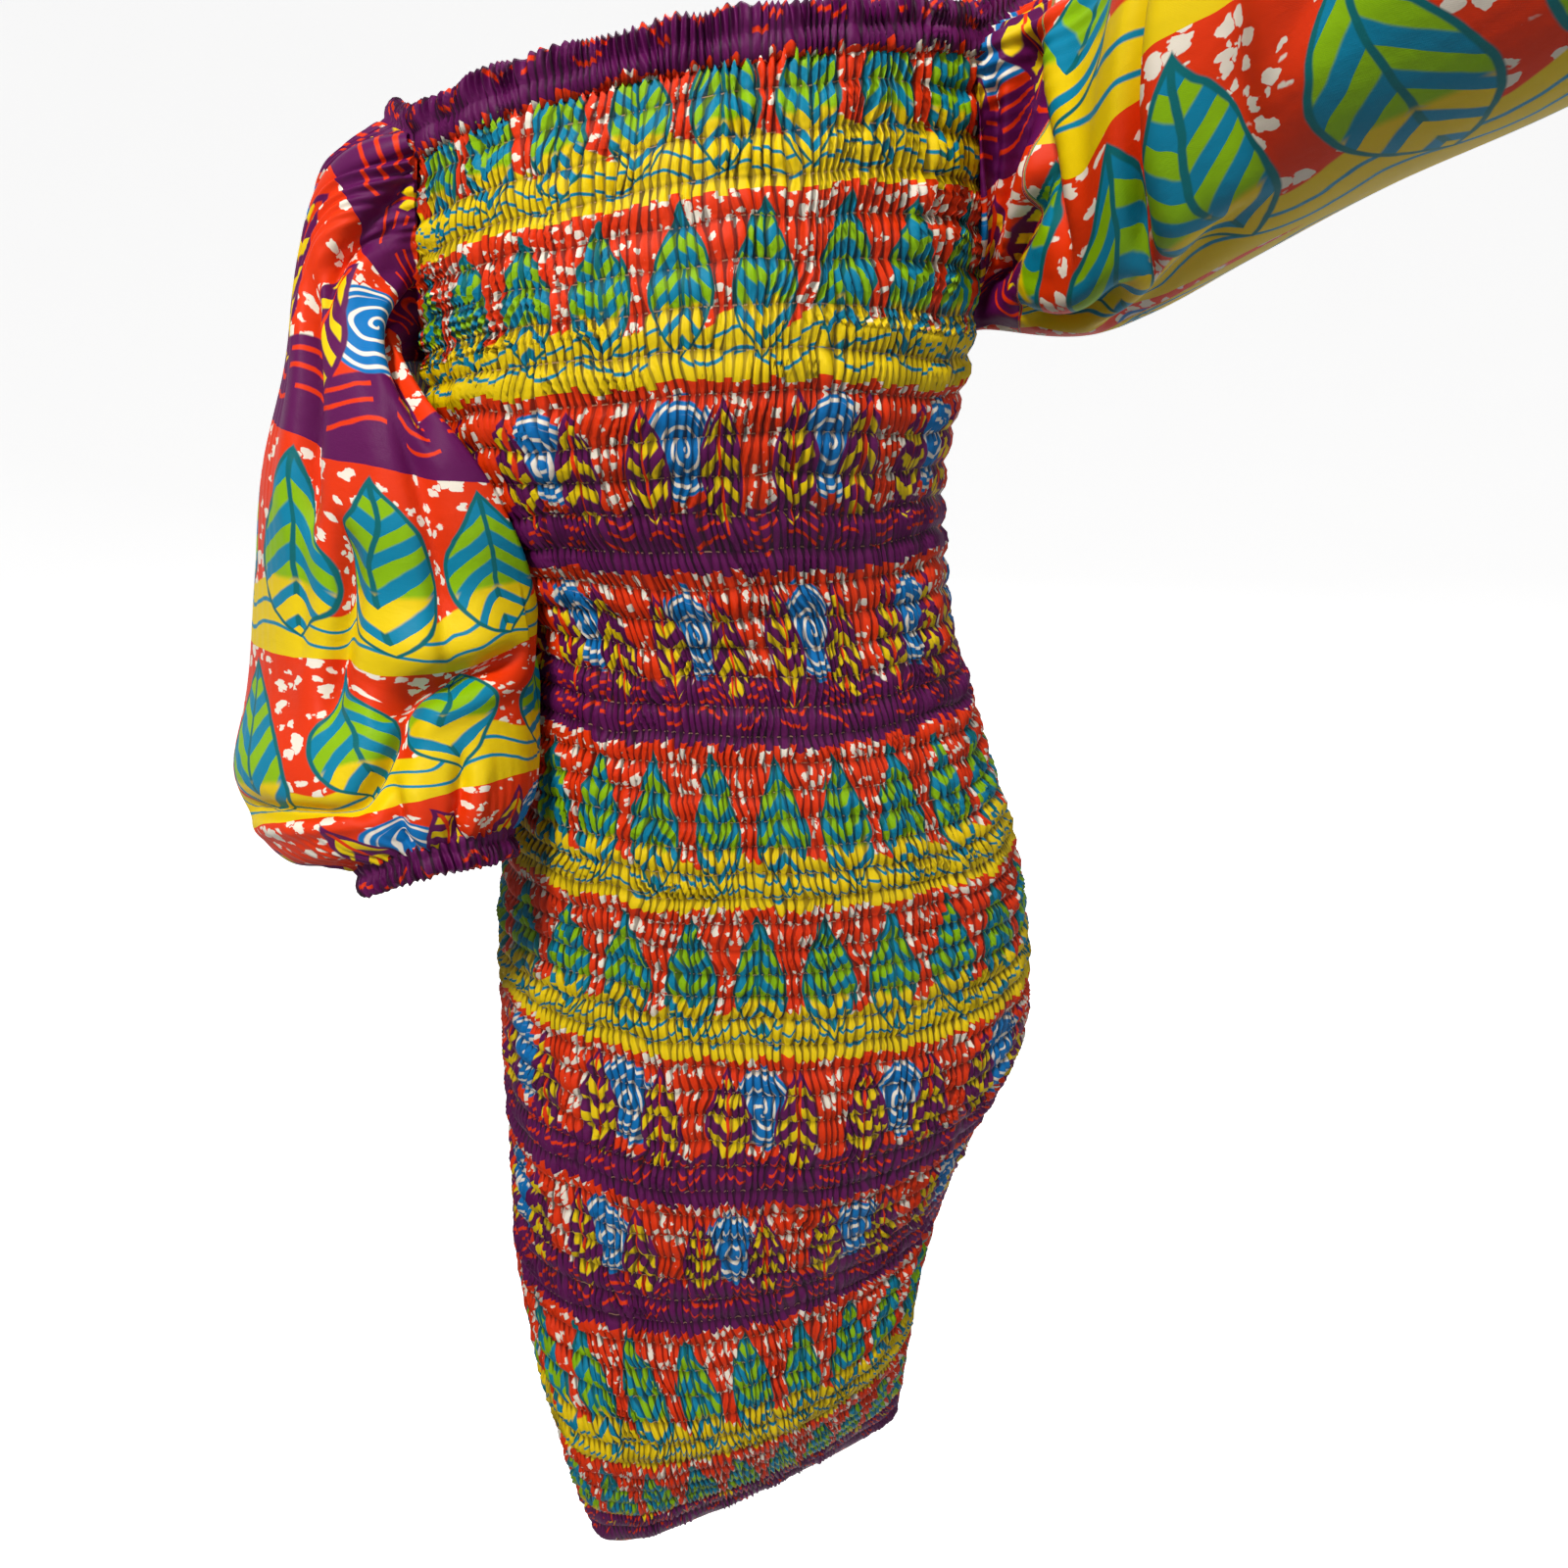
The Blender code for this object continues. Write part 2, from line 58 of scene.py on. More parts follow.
# Sleeve roots, as on the solids
NECK_ARC_STEPS = 8
SEAM_RUN = 0.040
SEAM_LEAN = 35.0
SLEEVE_LET_GO = 0.24
SLEEVE_STEP = 0.02
SLEEVE_CLEARS = 0.16
BODY_ROOM = 0.0100
UNDERARM_ROOM = 0.010
UNDERARM_REACH = 0.07
NECK_TILT = {-1: 32.0, 1: 60.0}

# Sections of the body: height, centre, shift, half width, front, back, turn, lift, slope
BODY = np.array([
    [0.140, 0.000, 0.000, 0.150, 0.097, 0.092, 0, 0.008, 0.173],
    [0.070, -0.001, 0.000, 0.153, 0.110, 0.100, 0, 0.014, 0.125],
    [0.000, -0.003, 0.000, 0.152, 0.120, 0.105, 0, 0.018, 0.060],
    [-0.035, -0.005, 0.000, 0.148, 0.121, 0.101, 0, 0.015, 0.045],
    [-0.075, -0.004, 0.000, 0.141, 0.110, 0.095, 0, 0.010, 0.028],
    [-0.110, 0.003, 0.000, 0.136, 0.098, 0.091, 0, 0.005, 0.015],
    [-0.155, 0.015, 0.000, 0.131, 0.090, 0.088, 0, 0.000, 0.000],
    [-0.220, 0.022, 0.000, 0.144, 0.098, 0.095, 0, 0.000, 0.000],
    [-0.300, 0.028, 0.000, 0.166, 0.108, 0.114, 0, 0.000, 0.000],
    [-0.380, 0.031, 0.000, 0.181, 0.112, 0.128, 0, 0.000, 0.000],
    [-0.460, 0.030, -0.008, 0.183, 0.120, 0.126, 1, 0.000, 0.000],
    [-0.530, 0.017, -0.017, 0.168, 0.122, 0.118, 7, 0.000, 0.000],
    [-0.610, 0.006, -0.028, 0.159, 0.115, 0.110, 15, 0.002, 0.022],
    [-0.700, 0.009, -0.078, 0.138, 0.086, 0.108, 23, 0.010, 0.030],
    [-0.820, 0.021, -0.090, 0.126, 0.042, 0.100, 27, 0.030, -0.010],
])

# Stops along the sleeves: under x y z, over x y z, front, back, turn, rise
RIGHT_STOPS = np.array([
    [-0.155, 0.000, 0.000, -0.168, 0.005, 0.110, 0.050, 0.050, 0, 0],
    [-0.166, -0.012, 0.004, -0.187, 0.004, 0.084, 0.050, 0.046, 0, 0],
    [-0.148, -0.046, -0.010, -0.201, 0.015, 0.044, 0.048, 0.060, 0, 0],
    [-0.118, -0.082, -0.038, -0.218, 0.025, -0.006, 0.056, 0.070, 0, 0],
    [-0.104, -0.088, -0.078, -0.242, 0.028, -0.062, 0.068, 0.072, 0, 0],
    [-0.103, -0.082, -0.120, -0.260, 0.020, -0.120, 0.070, 0.072, 0, 0],
    [-0.104, -0.080, -0.158, -0.272, 0.000, -0.178, 0.072, 0.070, 0, 5],
    [-0.105, -0.086, -0.190, -0.276, -0.036, -0.228, 0.073, 0.070, 0, 10],
    [-0.104, -0.094, -0.216, -0.266, -0.068, -0.262, 0.067, 0.066, 0, 15],
    [-0.106, -0.100, -0.236, -0.244, -0.090, -0.279, 0.058, 0.057, 0, 20],
    [-0.113, -0.104, -0.248, -0.217, -0.097, -0.279, 0.049, 0.048, 0, 22],
    [-0.121, -0.104, -0.257, -0.200, -0.100, -0.280, 0.041, 0.041, 0, 22],
])
LEFT_STOPS = np.array([
    [0.149, 0.000, 0.000, 0.186, -0.002, 0.174, 0.050, 0.050, 0, 0],
    [0.170, -0.010, 0.000, 0.210, -0.014, 0.184, 0.040, 0.046, 8, 0],
    [0.203, -0.038, 0.008, 0.228, -0.042, 0.206, 0.060, 0.058, 28, 0],
    [0.230, -0.072, 0.024, 0.240, -0.073, 0.229, 0.074, 0.072, 42, 0],
    [0.256, -0.108, 0.047, 0.257, -0.101, 0.250, 0.080, 0.078, 50, 0],
    [0.299, -0.150, 0.077, 0.278, -0.131, 0.270, 0.082, 0.080, 50, 0],
    [0.345, -0.200, 0.104, 0.302, -0.161, 0.288, 0.082, 0.080, 50, 0],
    [0.390, -0.250, 0.140, 0.325, -0.187, 0.300, 0.080, 0.078, 52, 0],
    [0.414, -0.284, 0.180, 0.345, -0.209, 0.312, 0.076, 0.074, 53, 0],
    [0.422, -0.303, 0.222, 0.364, -0.232, 0.322, 0.064, 0.062, 53, 0],
    [0.421, -0.308, 0.248, 0.379, -0.254, 0.324, 0.050, 0.050, 53, 0],
    [0.419, -0.307, 0.262, 0.386, -0.264, 0.326, 0.041, 0.041, 53, 0],
])

# Creases of each sleeve. Each runs from one place and angle to another:
# place, angle, place, angle, depth, half width, and the width of cloth hidden in it
RIGHT_FOLDS = [
    (0.17, 96, 0.42, 76, 0.0115, 0.0065, 0.024),
    (0.02, 58, 0.31, 18, 0.0125, 0.0070, 0.032),
    (0.02, 118, 0.24, 66, 0.0070, 0.0065, 0.014),
    (0.05, 92, 0.20, 84, 0.0045, 0.0060, 0.006),
    (0.36, 69, 0.62, 78, 0.0110, 0.0060, 0.026),
    (0.56, 50, 0.78, 82, 0.0120, 0.0065, 0.022),
    (0.61, 64, 0.52, 2, 0.0150, 0.0070, 0.036),
    (0.71, 152, 0.73, 72, 0.0095, 0.0065, 0.020),
    (0.98, 74, 0.66, 66, 0.0085, 0.0050, 0.010),
    (0.98, 46, 0.64, 38, 0.0085, 0.0050, 0.010),
    (0.99, 104, 0.87, 118, 0.0060, 0.0050, 0.006),
    (0.99, 136, 0.88, 152, 0.0055, 0.0050, 0.006),
    (0.24, 42, 0.62, 30, 0.0070, 0.0080, 0.014),
    (0.34, 92, 0.56, 84, 0.0030, 0.0090, 0.004),
    (0.03, 196, 0.42, 214, 0.0075, 0.0080, 0.018),
    (0.04, 246, 0.36, 238, 0.0065, 0.0075, 0.012),
    (0.34, 268, 0.84, 282, 0.0075, 0.0085, 0.018),
    (0.50, 318, 0.94, 308, 0.0060, 0.0075, 0.012),
    (0.55, 212, 0.96, 198, 0.0065, 0.0075, 0.014),
    (0.74, 252, 0.99, 244, 0.0060, 0.0060, 0.008),
    (0.28, 338, 0.66, 346, 0.0055, 0.0080, 0.010),
    (0.85, 345, 0.99, 338, 0.0050, 0.0055, 0.006),
]
LEFT_FOLDS = [
    (0.00, 14, 0.125, 128, 0.0165, 0.0085, 0.044),
    (0.085, 126, 0.205, 40, 0.0130, 0.0065, 0.030),
    (0.00, 34, 0.070, 118, 0.0120, 0.0065, 0.024),
    (0.10, 24, 0.310, 22, 0.0100, 0.0070, 0.020),
    (0.01, 52, 0.045, 120, 0.0055, 0.0050, 0.008),
    (0.00, 10, 0.175, 82, 0.0135, 0.0070, 0.030),
    (0.375, 116, 0.305, 14, 0.0130, 0.0065, 0.032),
    (0.20, 8, 0.440, 22, 0.0060, 0.0080, 0.010),
    (0.46, 130, 0.400, 28, 0.0060, 0.0085, 0.010),
    (0.44, 52, 0.580, 138, 0.0060, 0.0085, 0.012),
    (0.60, 34, 0.740, 112, 0.0065, 0.0080, 0.012),
    (0.99, 60, 0.800, 78, 0.0060, 0.0060, 0.008),
    (0.99, 98, 0.820, 112, 0.0065, 0.0060, 0.008),
    (0.99, 18, 0.840, 30, 0.0055, 0.0060, 0.006),
    (0.99, 148, 0.820, 160, 0.0060, 0.0060, 0.008),
    (0.01, 346, 0.180, 232, 0.0090, 0.0080, 0.022),
    (0.04, 332, 0.320, 240, 0.0075, 0.0080, 0.016),
    (0.30, 302, 0.700, 288, 0.0070, 0.0085, 0.014),
    (0.50, 228, 0.900, 242, 0.0065, 0.0085, 0.012),
    (0.99, 198, 0.800, 212, 0.0055, 0.0060, 0.008),
    (0.99, 252, 0.830, 250, 0.0060, 0.0060, 0.008),
    (0.99, 304, 0.820, 312, 0.0055, 0.0060, 0.006),
    (0.10, 200, 0.480, 206, 0.0055, 0.0085, 0.010),
]

# The lowest that a sleeve's cloth may sink, the bend of a crease, the shares of its length over
# which it starts and ends, and the height of the lip beside it as a share of its depth
CREASE_LIMIT = -0.0150
CREASE_BEND = 0.004
CREASE_START = 0.22
CREASE_END = 0.30
LIP_HEIGHT = 0.30

# In half widths of a crease: its steep and gentle sides, the lip, and the step and reach of the
# hidden cloth
CREASE_STEEP = 0.60
CREASE_GENTLE = 1.35
LIP_OFF = 2.1
LIP_WIDTH = 1.2
HIDDEN_STEP = 0.35
HIDDEN_REACH = 7.0

# Rows of elastic thread: the pitch between rows by height, as the cloth stretches more at the hips
ROW_PITCH = np.array([
    [0.130, 0.0190],
    [0.000, 0.0192],
    [-0.120, 0.0172],
    [-0.250, 0.0168],
    [-0.420, 0.0168],
    [-0.560, 0.0176],
    [-0.840, 0.0178],
])
STEPS_A_PUFF = 4
PANEL_COLUMNS = 448
PANEL_GATHERS = 93
PUFF_DEPTH = 0.0028
FOLD_DEPTH = 0.0026
STITCH_SINK = 0.0010
STITCH_WAVE = 0.0028
FOLD_LEAN = 0.4502

# The last puffs above the hem, the line where the print jumps, and its place on the print there
HEM_PUFFS = 2
HEM_JUMP = 0.03
HEM_PRINT = 1.147
BACK_PRINT_SHIFT = 0.035

# The turned hem, line by line: how far in, how far up, and cloth since the edge
HEM_TURN = [
    (0.0004, -0.0006, 0.001),
    (0.0014, 0.0002, 0.002),
    (0.0018, 0.0050, 0.007),
    (0.0018, 0.0100, 0.012),
]

# Grid of a sleeve, its mean girth, and the gathers at its two ends
SLEEVE_ROWS = 230
SLEEVE_COLUMNS = 400
SLEEVE_GIRTH = 0.45
SLEEVE_PRINT_SHIFT = {-1: 0.02, 1: 0.010}
NEAR_CUFF = 0.97
NECK_GATHERS = 54
WRIST_GATHERS = 64
GATHER_DEPTH = 0.0032
SEAM_GATHER_DEPTH = 0.0014
WRIST_GATHER_DEPTH = 0.0030
RUMPLE_DEPTH = 0.0016

# Puffs of the right sleeve: angle, spread, place, reach and depth of the cap and of the two
# places where the cloth blouses over itself
RIGHT_PUFFS = [
    (150, 75, 0.12, 0.085, 0.0170),
    (34, 30, 0.510, 0.045, 0.0105),
    (140, 34, 0.65, 0.05, 0.0050),
]

# Place on the raised sleeve where its print changes, and how far the print jumps there
CAP_PRINT_END = 0.116
CAP_PRINT_JUMP = 0.22

# Casings: height, cloth to a metre of edge, depth and rise of the puckers, and the closing step
CASING_HEIGHT = 0.0145
CASING_FULLNESS = 1.7
PUCKER_DEPTH = 0.0017
PUCKER_RISE = 0.0007
CASING_CLOSE = 0.002
NECK_COLUMNS = 1840
NECK_PUCKERS = 228
NECK_FRILL = 0.16
CUFF_PUCKERS = 54

# Section of a casing: how far out and up, and how strongly each pucker shows there
CASING_SHAPE = np.array([
    [-0.0012, 0.06, 0.1],
    [-0.0016, 0.40, 0.2],
    [-0.0014, 0.75, 0.4],
    [-0.0004, 0.98, 0.8],
    [0.0012, 1.06, 1.0],
    [0.0030, 0.97, 1.0],
    [0.0042, 0.80, 1.0],
    [0.0046, 0.60, 1.0],
    [0.0040, 0.42, 0.8],
    [0.0032, 0.28, 0.6],
    [0.0040, 0.12, 0.9],
    [0.0048, -0.06, 1.0],
    [0.0046, -0.24, 1.0],
    [0.0036, -0.36, 0.9],
    [0.0020, -0.38, 0.5],
    [0.0010, -0.20, 0.3],
])

# The rows of the section that hang down as a frill
FRILL_ROWS = [13, 14]

# Hills across a table of random noise
HILLS = 256

# Flat cuts of the pieces
PANEL_FLAT_WIDTH = 0.73
SLEEVE_FLAT_WIDTH = 0.528

# Flat cloth to a metre of worn length, by height: the bust is drawn up the most
TAKEN_UP = np.array([
    [0.130, 1.40],
    [0.020, 1.33],
    [-0.080, 1.25],
    [-0.180, 1.10],
    [-0.300, 1.09],
    [-0.840, 1.10],
])


def ease(value):
    value = np.clip(value, 0.0, 1.0)
    return value * value * (3.0 - 2.0 * value)


def smooth_run(start, leave, end, arrive, t):
    """A smooth run from start to end, with a given slope at each."""
    run = start * (2 * t**3 - 3 * t**2 + 1) + leave * (t**3 - 2 * t**2 + t)
    return run + end * (3 * t**2 - 2 * t**3) + arrive * (t**3 - t**2)


def smooth_read(places, values, at):
    """Reads smooth curves through rows of values that stand at rising places."""
    places = np.asarray(places, float)
    values = np.asarray(values, float)
    last = len(places) - 1
    slopes = np.empty_like(values)
    for i in range(last + 1):
        low = max(i - 1, 0)
        high = min(i + 1, last)
        slopes[i] = (values[high] - values[low]) / (places[high] - places[low])
    at = np.clip(at, places[0], places[last])
    span = np.clip(np.searchsorted(places, at) - 1, 0, last - 1)
    width = (places[span + 1] - places[span])[..., None]
    t = (at - places[span])[..., None] / width
    return smooth_run(values[span], slopes[span] * width, values[span + 1], slopes[span + 1] * width, t)


def smooth_noise(x, y, seed):
    """Soft random hills from -1 to 1 over x and y, one hill about every unit."""
    table = np.random.default_rng(seed).uniform(-1, 1, (HILLS, HILLS))
    ix = np.floor(x).astype(int)
    iy = np.floor(y).astype(int)
    fx = ease(x - ix)
    fy = ease(y - iy)

    def pick(a, b):
        return table[a % HILLS, b % HILLS]

    low = pick(ix, iy) * (1 - fx) + pick(ix + 1, iy) * fx
    high = pick(ix, iy + 1) * (1 - fx) + pick(ix + 1, iy + 1) * fx
    return low * (1 - fy) + high * fy


def unit(vectors):
    return vectors / np.maximum(np.linalg.norm(vectors, axis=-1, keepdims=True), 1e-9)


def bell(value, middle, width):
    return np.exp(-(((value - middle) / width) ** 2))


def section(height):
    """Centre, shift, half width, front, back, turn, lift and slope of the body at a height."""
    return smooth_read(BODY[::-1, 0], BODY[::-1, 1:], np.asarray(height, float))


def body_points(angle, height, out):
    """Points of the body tube. The angle is 0 at the middle of the front and 90 at the left side."""
    row = section(height)
    centre, shift, half, front, back, turn, lift, slope = np.moveaxis(row, -1, 0)
    sine = np.sin(np.radians(angle))
    cosine = np.cos(np.radians(angle))
    depth = np.where(cosine > 0, front, back)
    length = np.hypot(sine / half, cosine / depth)
    flat_x = half * sine + out * sine / half / length
    flat_y = -depth * cosine - out * cosine / depth / length
    turn = np.radians(turn)
    x = centre + flat_x * np.cos(turn) - flat_y * np.sin(turn)
    y = shift + flat_x * np.sin(turn) + flat_y * np.cos(turn)
    z = height + lift * np.maximum(0.0, cosine) ** 2 + slope * x
    return np.stack([x, y, z], -1)


def armhole_turn(height):
    """Degrees by which the armhole cuts into a panel's half turn at a height."""
    return ARMHOLE_TURN * (np.maximum(0.0, height) / NECK_LINE) ** ARMHOLE_POWER


def row_heights():
    """Heights of the rows of stitches from the neck line to the hem."""
    heights = [NECK_LINE]
    while heights[-1] > HEM_LINE:
        heights.append(heights[-1] - np.interp(heights[-1], ROW_PITCH[::-1, 0], ROW_PITCH[::-1, 1]))
    heights = np.array(heights)
    return NECK_LINE + (heights - NECK_LINE) * (HEM_LINE - NECK_LINE) / (heights[-1] - NECK_LINE)


def cloth_object(name, points, close, maps, flip=False):
    """A grid of cloth as an object, with maps of flat coordinates by name."""
    rows, columns = points.shape[:2]
    number = np.arange(rows * columns).reshape(rows, columns)
    right = np.roll(number, -1, 1)
    if not close:
        number = number[:, :-1]
        right = right[:, :-1]
    quads = np.stack([number[:-1], right[:-1], right[1:], number[1:]], -1).reshape(-1, 4)
    if flip:
        quads = quads[:, ::-1]
    mesh = bpy.data.meshes.new(name)
    mesh.vertices.add(rows * columns)
    mesh.vertices.foreach_set("co", points.reshape(-1).astype(np.float32))
    mesh.loops.add(quads.size)
    mesh.loops.foreach_set("vertex_index", quads.reshape(-1).astype(np.int32))
    mesh.polygons.add(len(quads))
    mesh.polygons.foreach_set("loop_start", np.arange(0, quads.size, 4, dtype=np.int32))
    mesh.update(calc_edges=True)
    mesh.validate()
    mesh.shade_smooth()
    for key, values in maps.items():
        u, v, period = values
        flat = np.stack([u.reshape(-1), v.reshape(-1)], -1)[quads.reshape(-1)].reshape(-1, 4, 2)
        if period:
            spread = flat[:, :, 0].max(1) - flat[:, :, 0].min(1)
            low = flat[:, :, 0] < flat[:, :, 0].max(1)[:, None] - period / 2
            flat[:, :, 0] += period * (low & (spread > period / 2)[:, None])
        layer = mesh.uv_layers.new(name=key)
        layer.data.foreach_set("uv", flat.reshape(-1).astype(np.float32))
    piece = bpy.data.objects.new(name, mesh)
    bpy.context.scene.collection.objects.link(piece)
    return piece


# Shirred panels

def puff_surface(place, gather, across, seed):
    """How far the shirred cloth stands out, its lean and wave, and its folds counted along a row.

    The place counts puffs down the panel, and the gather counts folds over it.
    """
    zero = 0 * gather
    row = np.floor(place)[:, None]
    part = (place - np.floor(place))[:, None]

    def fold_turn(level):
        """Folds counted along a row of stitches, uneven in width."""
        drift = 1.10 * smooth_noise(gather * 0.16 + 40, level + zero, seed + 1)
        drift = drift + 0.50 * smooth_noise(gather * 0.55 + 10, level * 1.7 + zero, seed + 2)
        return gather + drift

    blend = ease(part)
    turn = fold_turn(row * 0.62) * (1 - blend) + fold_turn((row + 1) * 0.62) * blend
    pleat = np.sin(2 * np.pi * turn)
    strength = 0.72 + 0.62 * smooth_noise(gather * 0.4 + 7, row * 0.8 + part + zero, seed + 9)
    swell = np.sin(np.pi * np.clip(part, 0, 1) ** 0.92) ** 0.72
    size = 1.0 + 0.30 * smooth_noise(gather * 0.12, row * 0.7 + zero, seed + 13)
    # The puffs start small at the neck line and flatten towards the side seams
    start = 0.35 + 0.65 * ease(place[:, None] / 1.2)
    edge = ease((1 - np.abs(across)) / 0.035)[None]
    out = WALL - STITCH_SINK + swell * size * PUFF_DEPTH * start
    out = out + pleat * strength * FOLD_DEPTH * (0.45 + 0.55 * swell)
    out = WALL + (out - WALL) * (0.30 + 0.70 * edge)
    out[-1] = WALL
    # The stitches draw the cloth together, so each gather also leans along its row a little
    lean = FOLD_LEAN * smooth_noise(gather * 0.5 + 90, row * 0.9 + part, seed + 21) * swell * edge
    wave = STITCH_WAVE * smooth_noise(gather * 0.16 + 3, row * 0.45 + zero, seed + 31) * edge
    return out, lean, wave, turn


def make_panel(name, middle, seed):
    """A shirred panel: puffs between rows of stitches, with uneven gathers in them."""
    stitch_rows = row_heights()
    count = len(stitch_rows) - 1
    place = np.arange(count * STEPS_A_PUFF + 1) / STEPS_A_PUFF
    # One more line just below a row of stitches, where the print jumps to the purple hem
    place = np.sort(np.append(place, count - HEM_PUFFS + HEM_JUMP))
    height = np.interp(place, np.arange(count + 1), stitch_rows)
    half = 90.0 - armhole_turn(height) - SEAM_TURN
    across = np.linspace(-1, 1, PANEL_COLUMNS)
    angle = middle + half[:, None] * across[None]
    spot = np.broadcast_to(height[:, None], angle.shape)

    # Flat coordinates of the cloth
    plain = body_points(angle, spot, WALL + 0 * angle)
    step = np.linalg.norm(np.diff(plain, axis=1), axis=-1)
    run = np.concatenate([np.zeros((len(height), 1)), np.cumsum(step, 1)], 1)
    run = run / run[:, -1:] - 0.5
    flat_u = run * PANEL_FLAT_WIDTH * (half / 90.0)[:, None]
    drawn = np.interp(height, TAKEN_UP[::-1, 0], TAKEN_UP[::-1, 1])
    long_way = np.concatenate([[0], np.cumsum(-np.diff(height) * (drawn[1:] + drawn[:-1]) / 2)])
    hem = place > count - HEM_PUFFS
    long_way[hem] += HEM_PRINT - long_way[~hem][-1]
    flat_v = np.broadcast_to(long_way[:, None], angle.shape)

    gather = flat_u / PANEL_FLAT_WIDTH * PANEL_GATHERS
    out, lean, wave, turn = puff_surface(place, gather, across, seed)
    points = body_points(angle + lean, spot + wave, out)

    # The hem is turned up inside
    turned = [
        body_points(angle[-1], spot[-1] + lift, WALL - inward + 0 * angle[-1])
        for inward, lift, past_edge in HEM_TURN
    ]
    extra = len(HEM_TURN)
    points = np.concatenate([points, np.array(turned)])
    flat_u = np.concatenate([flat_u, np.repeat(flat_u[-1:], extra, 0)])
    flat_v = np.concatenate([flat_v, flat_v[-1:] + np.array(HEM_TURN)[:, 2:]])
    puff_map = np.broadcast_to(place[:, None], angle.shape)
    puff_map = np.concatenate([puff_map, np.full((extra, PANEL_COLUMNS), float(count))])
    turn_map = np.concatenate([turn, np.repeat(turn[-1:], extra, 0)])
    print_shift = 0.0 if middle == 0 else BACK_PRINT_SHIFT
    maps = {
        "cloth": (flat_u + print_shift, flat_v, 0),
        "rows": (turn_map, puff_map, 0),
    }
    return cloth_object(name, points, False, maps)


# Sleeves

def stops_at(stops, place):
    """The stop of a sleeve at a place from 0 at its root to 1 at its cuff."""
    return smooth_read(np.arange(len(stops)) / (len(stops) - 1), stops, np.asarray(place, float))


def ring_points(stop, angle):
    """Points of a sleeve ring. The angle is 0 at the underarm side and 90 at the front."""
    under = stop[..., 0:3]
    over = stop[..., 3:6]
    middle = (under + over) / 2
    down = under - middle
    turn = np.radians(stop[..., 8])
    rise = np.radians(stop[..., 9])
    front = np.stack([-np.sin(turn), -np.cos(turn) * np.cos(rise), np.sin(rise)], -1)
    along = (front * down).sum(-1, keepdims=True) / (down * down).sum(-1, keepdims=True)
    front = unit(front - along * down)
    width = np.where(np.sin(angle) > 0, stop[..., 6], stop[..., 7])[..., None]
    spoke = np.cos(angle)[..., None] * down + np.sin(angle)[..., None] * width * front
    return middle + spoke


def clear_of_body(points, place):
    """Moves points of a sleeve out until they clear the shirred body beside it."""
    height = points[..., 2]
    row = section(height)
    centre, half, front, back = row[..., 0], row[..., 2], row[..., 3], row[..., 4]
    near = 1 - ease(np.abs(height) / UNDERARM_REACH)
    room = (BODY_ROOM + UNDERARM_ROOM * near) * ease(place / SLEEVE_CLEARS)
    depth = np.where(points[..., 1] < 0, front, back)
    x = (points[..., 0] - centre) / (half + room)
    y = points[..., 1] / (depth + room)
    reach = np.minimum(1.0, np.maximum(np.hypot(x, y), 1e-3))
    moved = points.copy()
    moved[..., 0] = centre + (points[..., 0] - centre) / reach
    moved[..., 1] = points[..., 1] / reach
    return moved


def armhole_edge(side, facing):
    """Coarse root points up one armhole edge, as (inside, outside, way the cloth runs)."""
    which = 1 if (side > 0) == (facing == "front") else -1
    middle = 0.0 if facing == "front" else 180.0
    edge = []
    for ring in range(UNDERARM_RING - 1, -1, -1):
        height = NECK_LINE - ring * ROOT_STEP
        angle = middle + which * (90.0 - armhole_turn(height) - SEAM_TURN)
        under = NECK_LINE - (ring + 1) * ROOT_STEP
        under_angle = middle + which * (90.0 - armhole_turn(under) - SEAM_TURN)
        inside = body_points(angle, height, 0.0)
        outside = body_points(angle, height, WALL)
        below = body_points(under_angle, under, 0.0)
        away = unit(np.cross(inside - below, outside - inside))
        if away[0] * side < 0:
            away = -away
        if ring == 0:
            away = unit(np.array([away[0], away[1], 0.0]))
        edge.append((inside + SEAM_GAP * away, outside + SEAM_GAP * away, away))
    return edge


def sleeve_root(side, stops):
    """The loop where a sleeve starts: underarm, front edge, over the arm, back edge."""
    underarm = [body_points(90.0 * side, SEAM_GAP, out) for out in (0.0, WALL)]
    front = armhole_edge(side, "front")
    back = armhole_edge(side, "back")
    start, end = front[-1][0], back[-1][0]
    bulge = stops[0][3:6] - (start + end) / 2
    arc = []
    for step in range(1, NECK_ARC_STEPS):
        t = step / NECK_ARC_STEPS
        inside = start * (1 - t) + end * t + bulge * math.sin(math.pi * t)
        along = end - start + bulge * math.pi * math.cos(math.pi * t)
        level = side * unit(np.array([along[1], -along[0], 0.0]))
        lean = math.radians(NECK_TILT[side]) * math.sin(math.pi * t)
        outward = level * math.cos(lean) + UP * math.sin(lean)
        arc.append((inside, inside + WALL * outward, level * math.sin(lean) - UP * math.cos(lean)))
    return [(underarm[0], underarm[1], UP)] + front + arc + back[::-1]


def even_steps(columns, *loops):
    """Reads closed loops of values at even steps along the first, which holds points."""
    length = np.linalg.norm(np.roll(loops[0], -1, 0) - loops[0], axis=1)
    place = np.concatenate([[0], np.cumsum(length)]) / length.sum()
    at = np.arange(columns) / columns
    read = []
    for values in loops:
        closed = np.concatenate([values, values[:1]])
        read.append(np.stack([np.interp(at, place, closed[:, i]) for i in range(3)], -1))
    return read


def ways_out(entries):
    """The inside points of a list of (inside, outside, ...), and the ways from inside to outside."""
    inside = np.array([entry[0] for entry in entries])
    return inside, unit(np.array([entry[1] - entry[0] for entry in entries]))


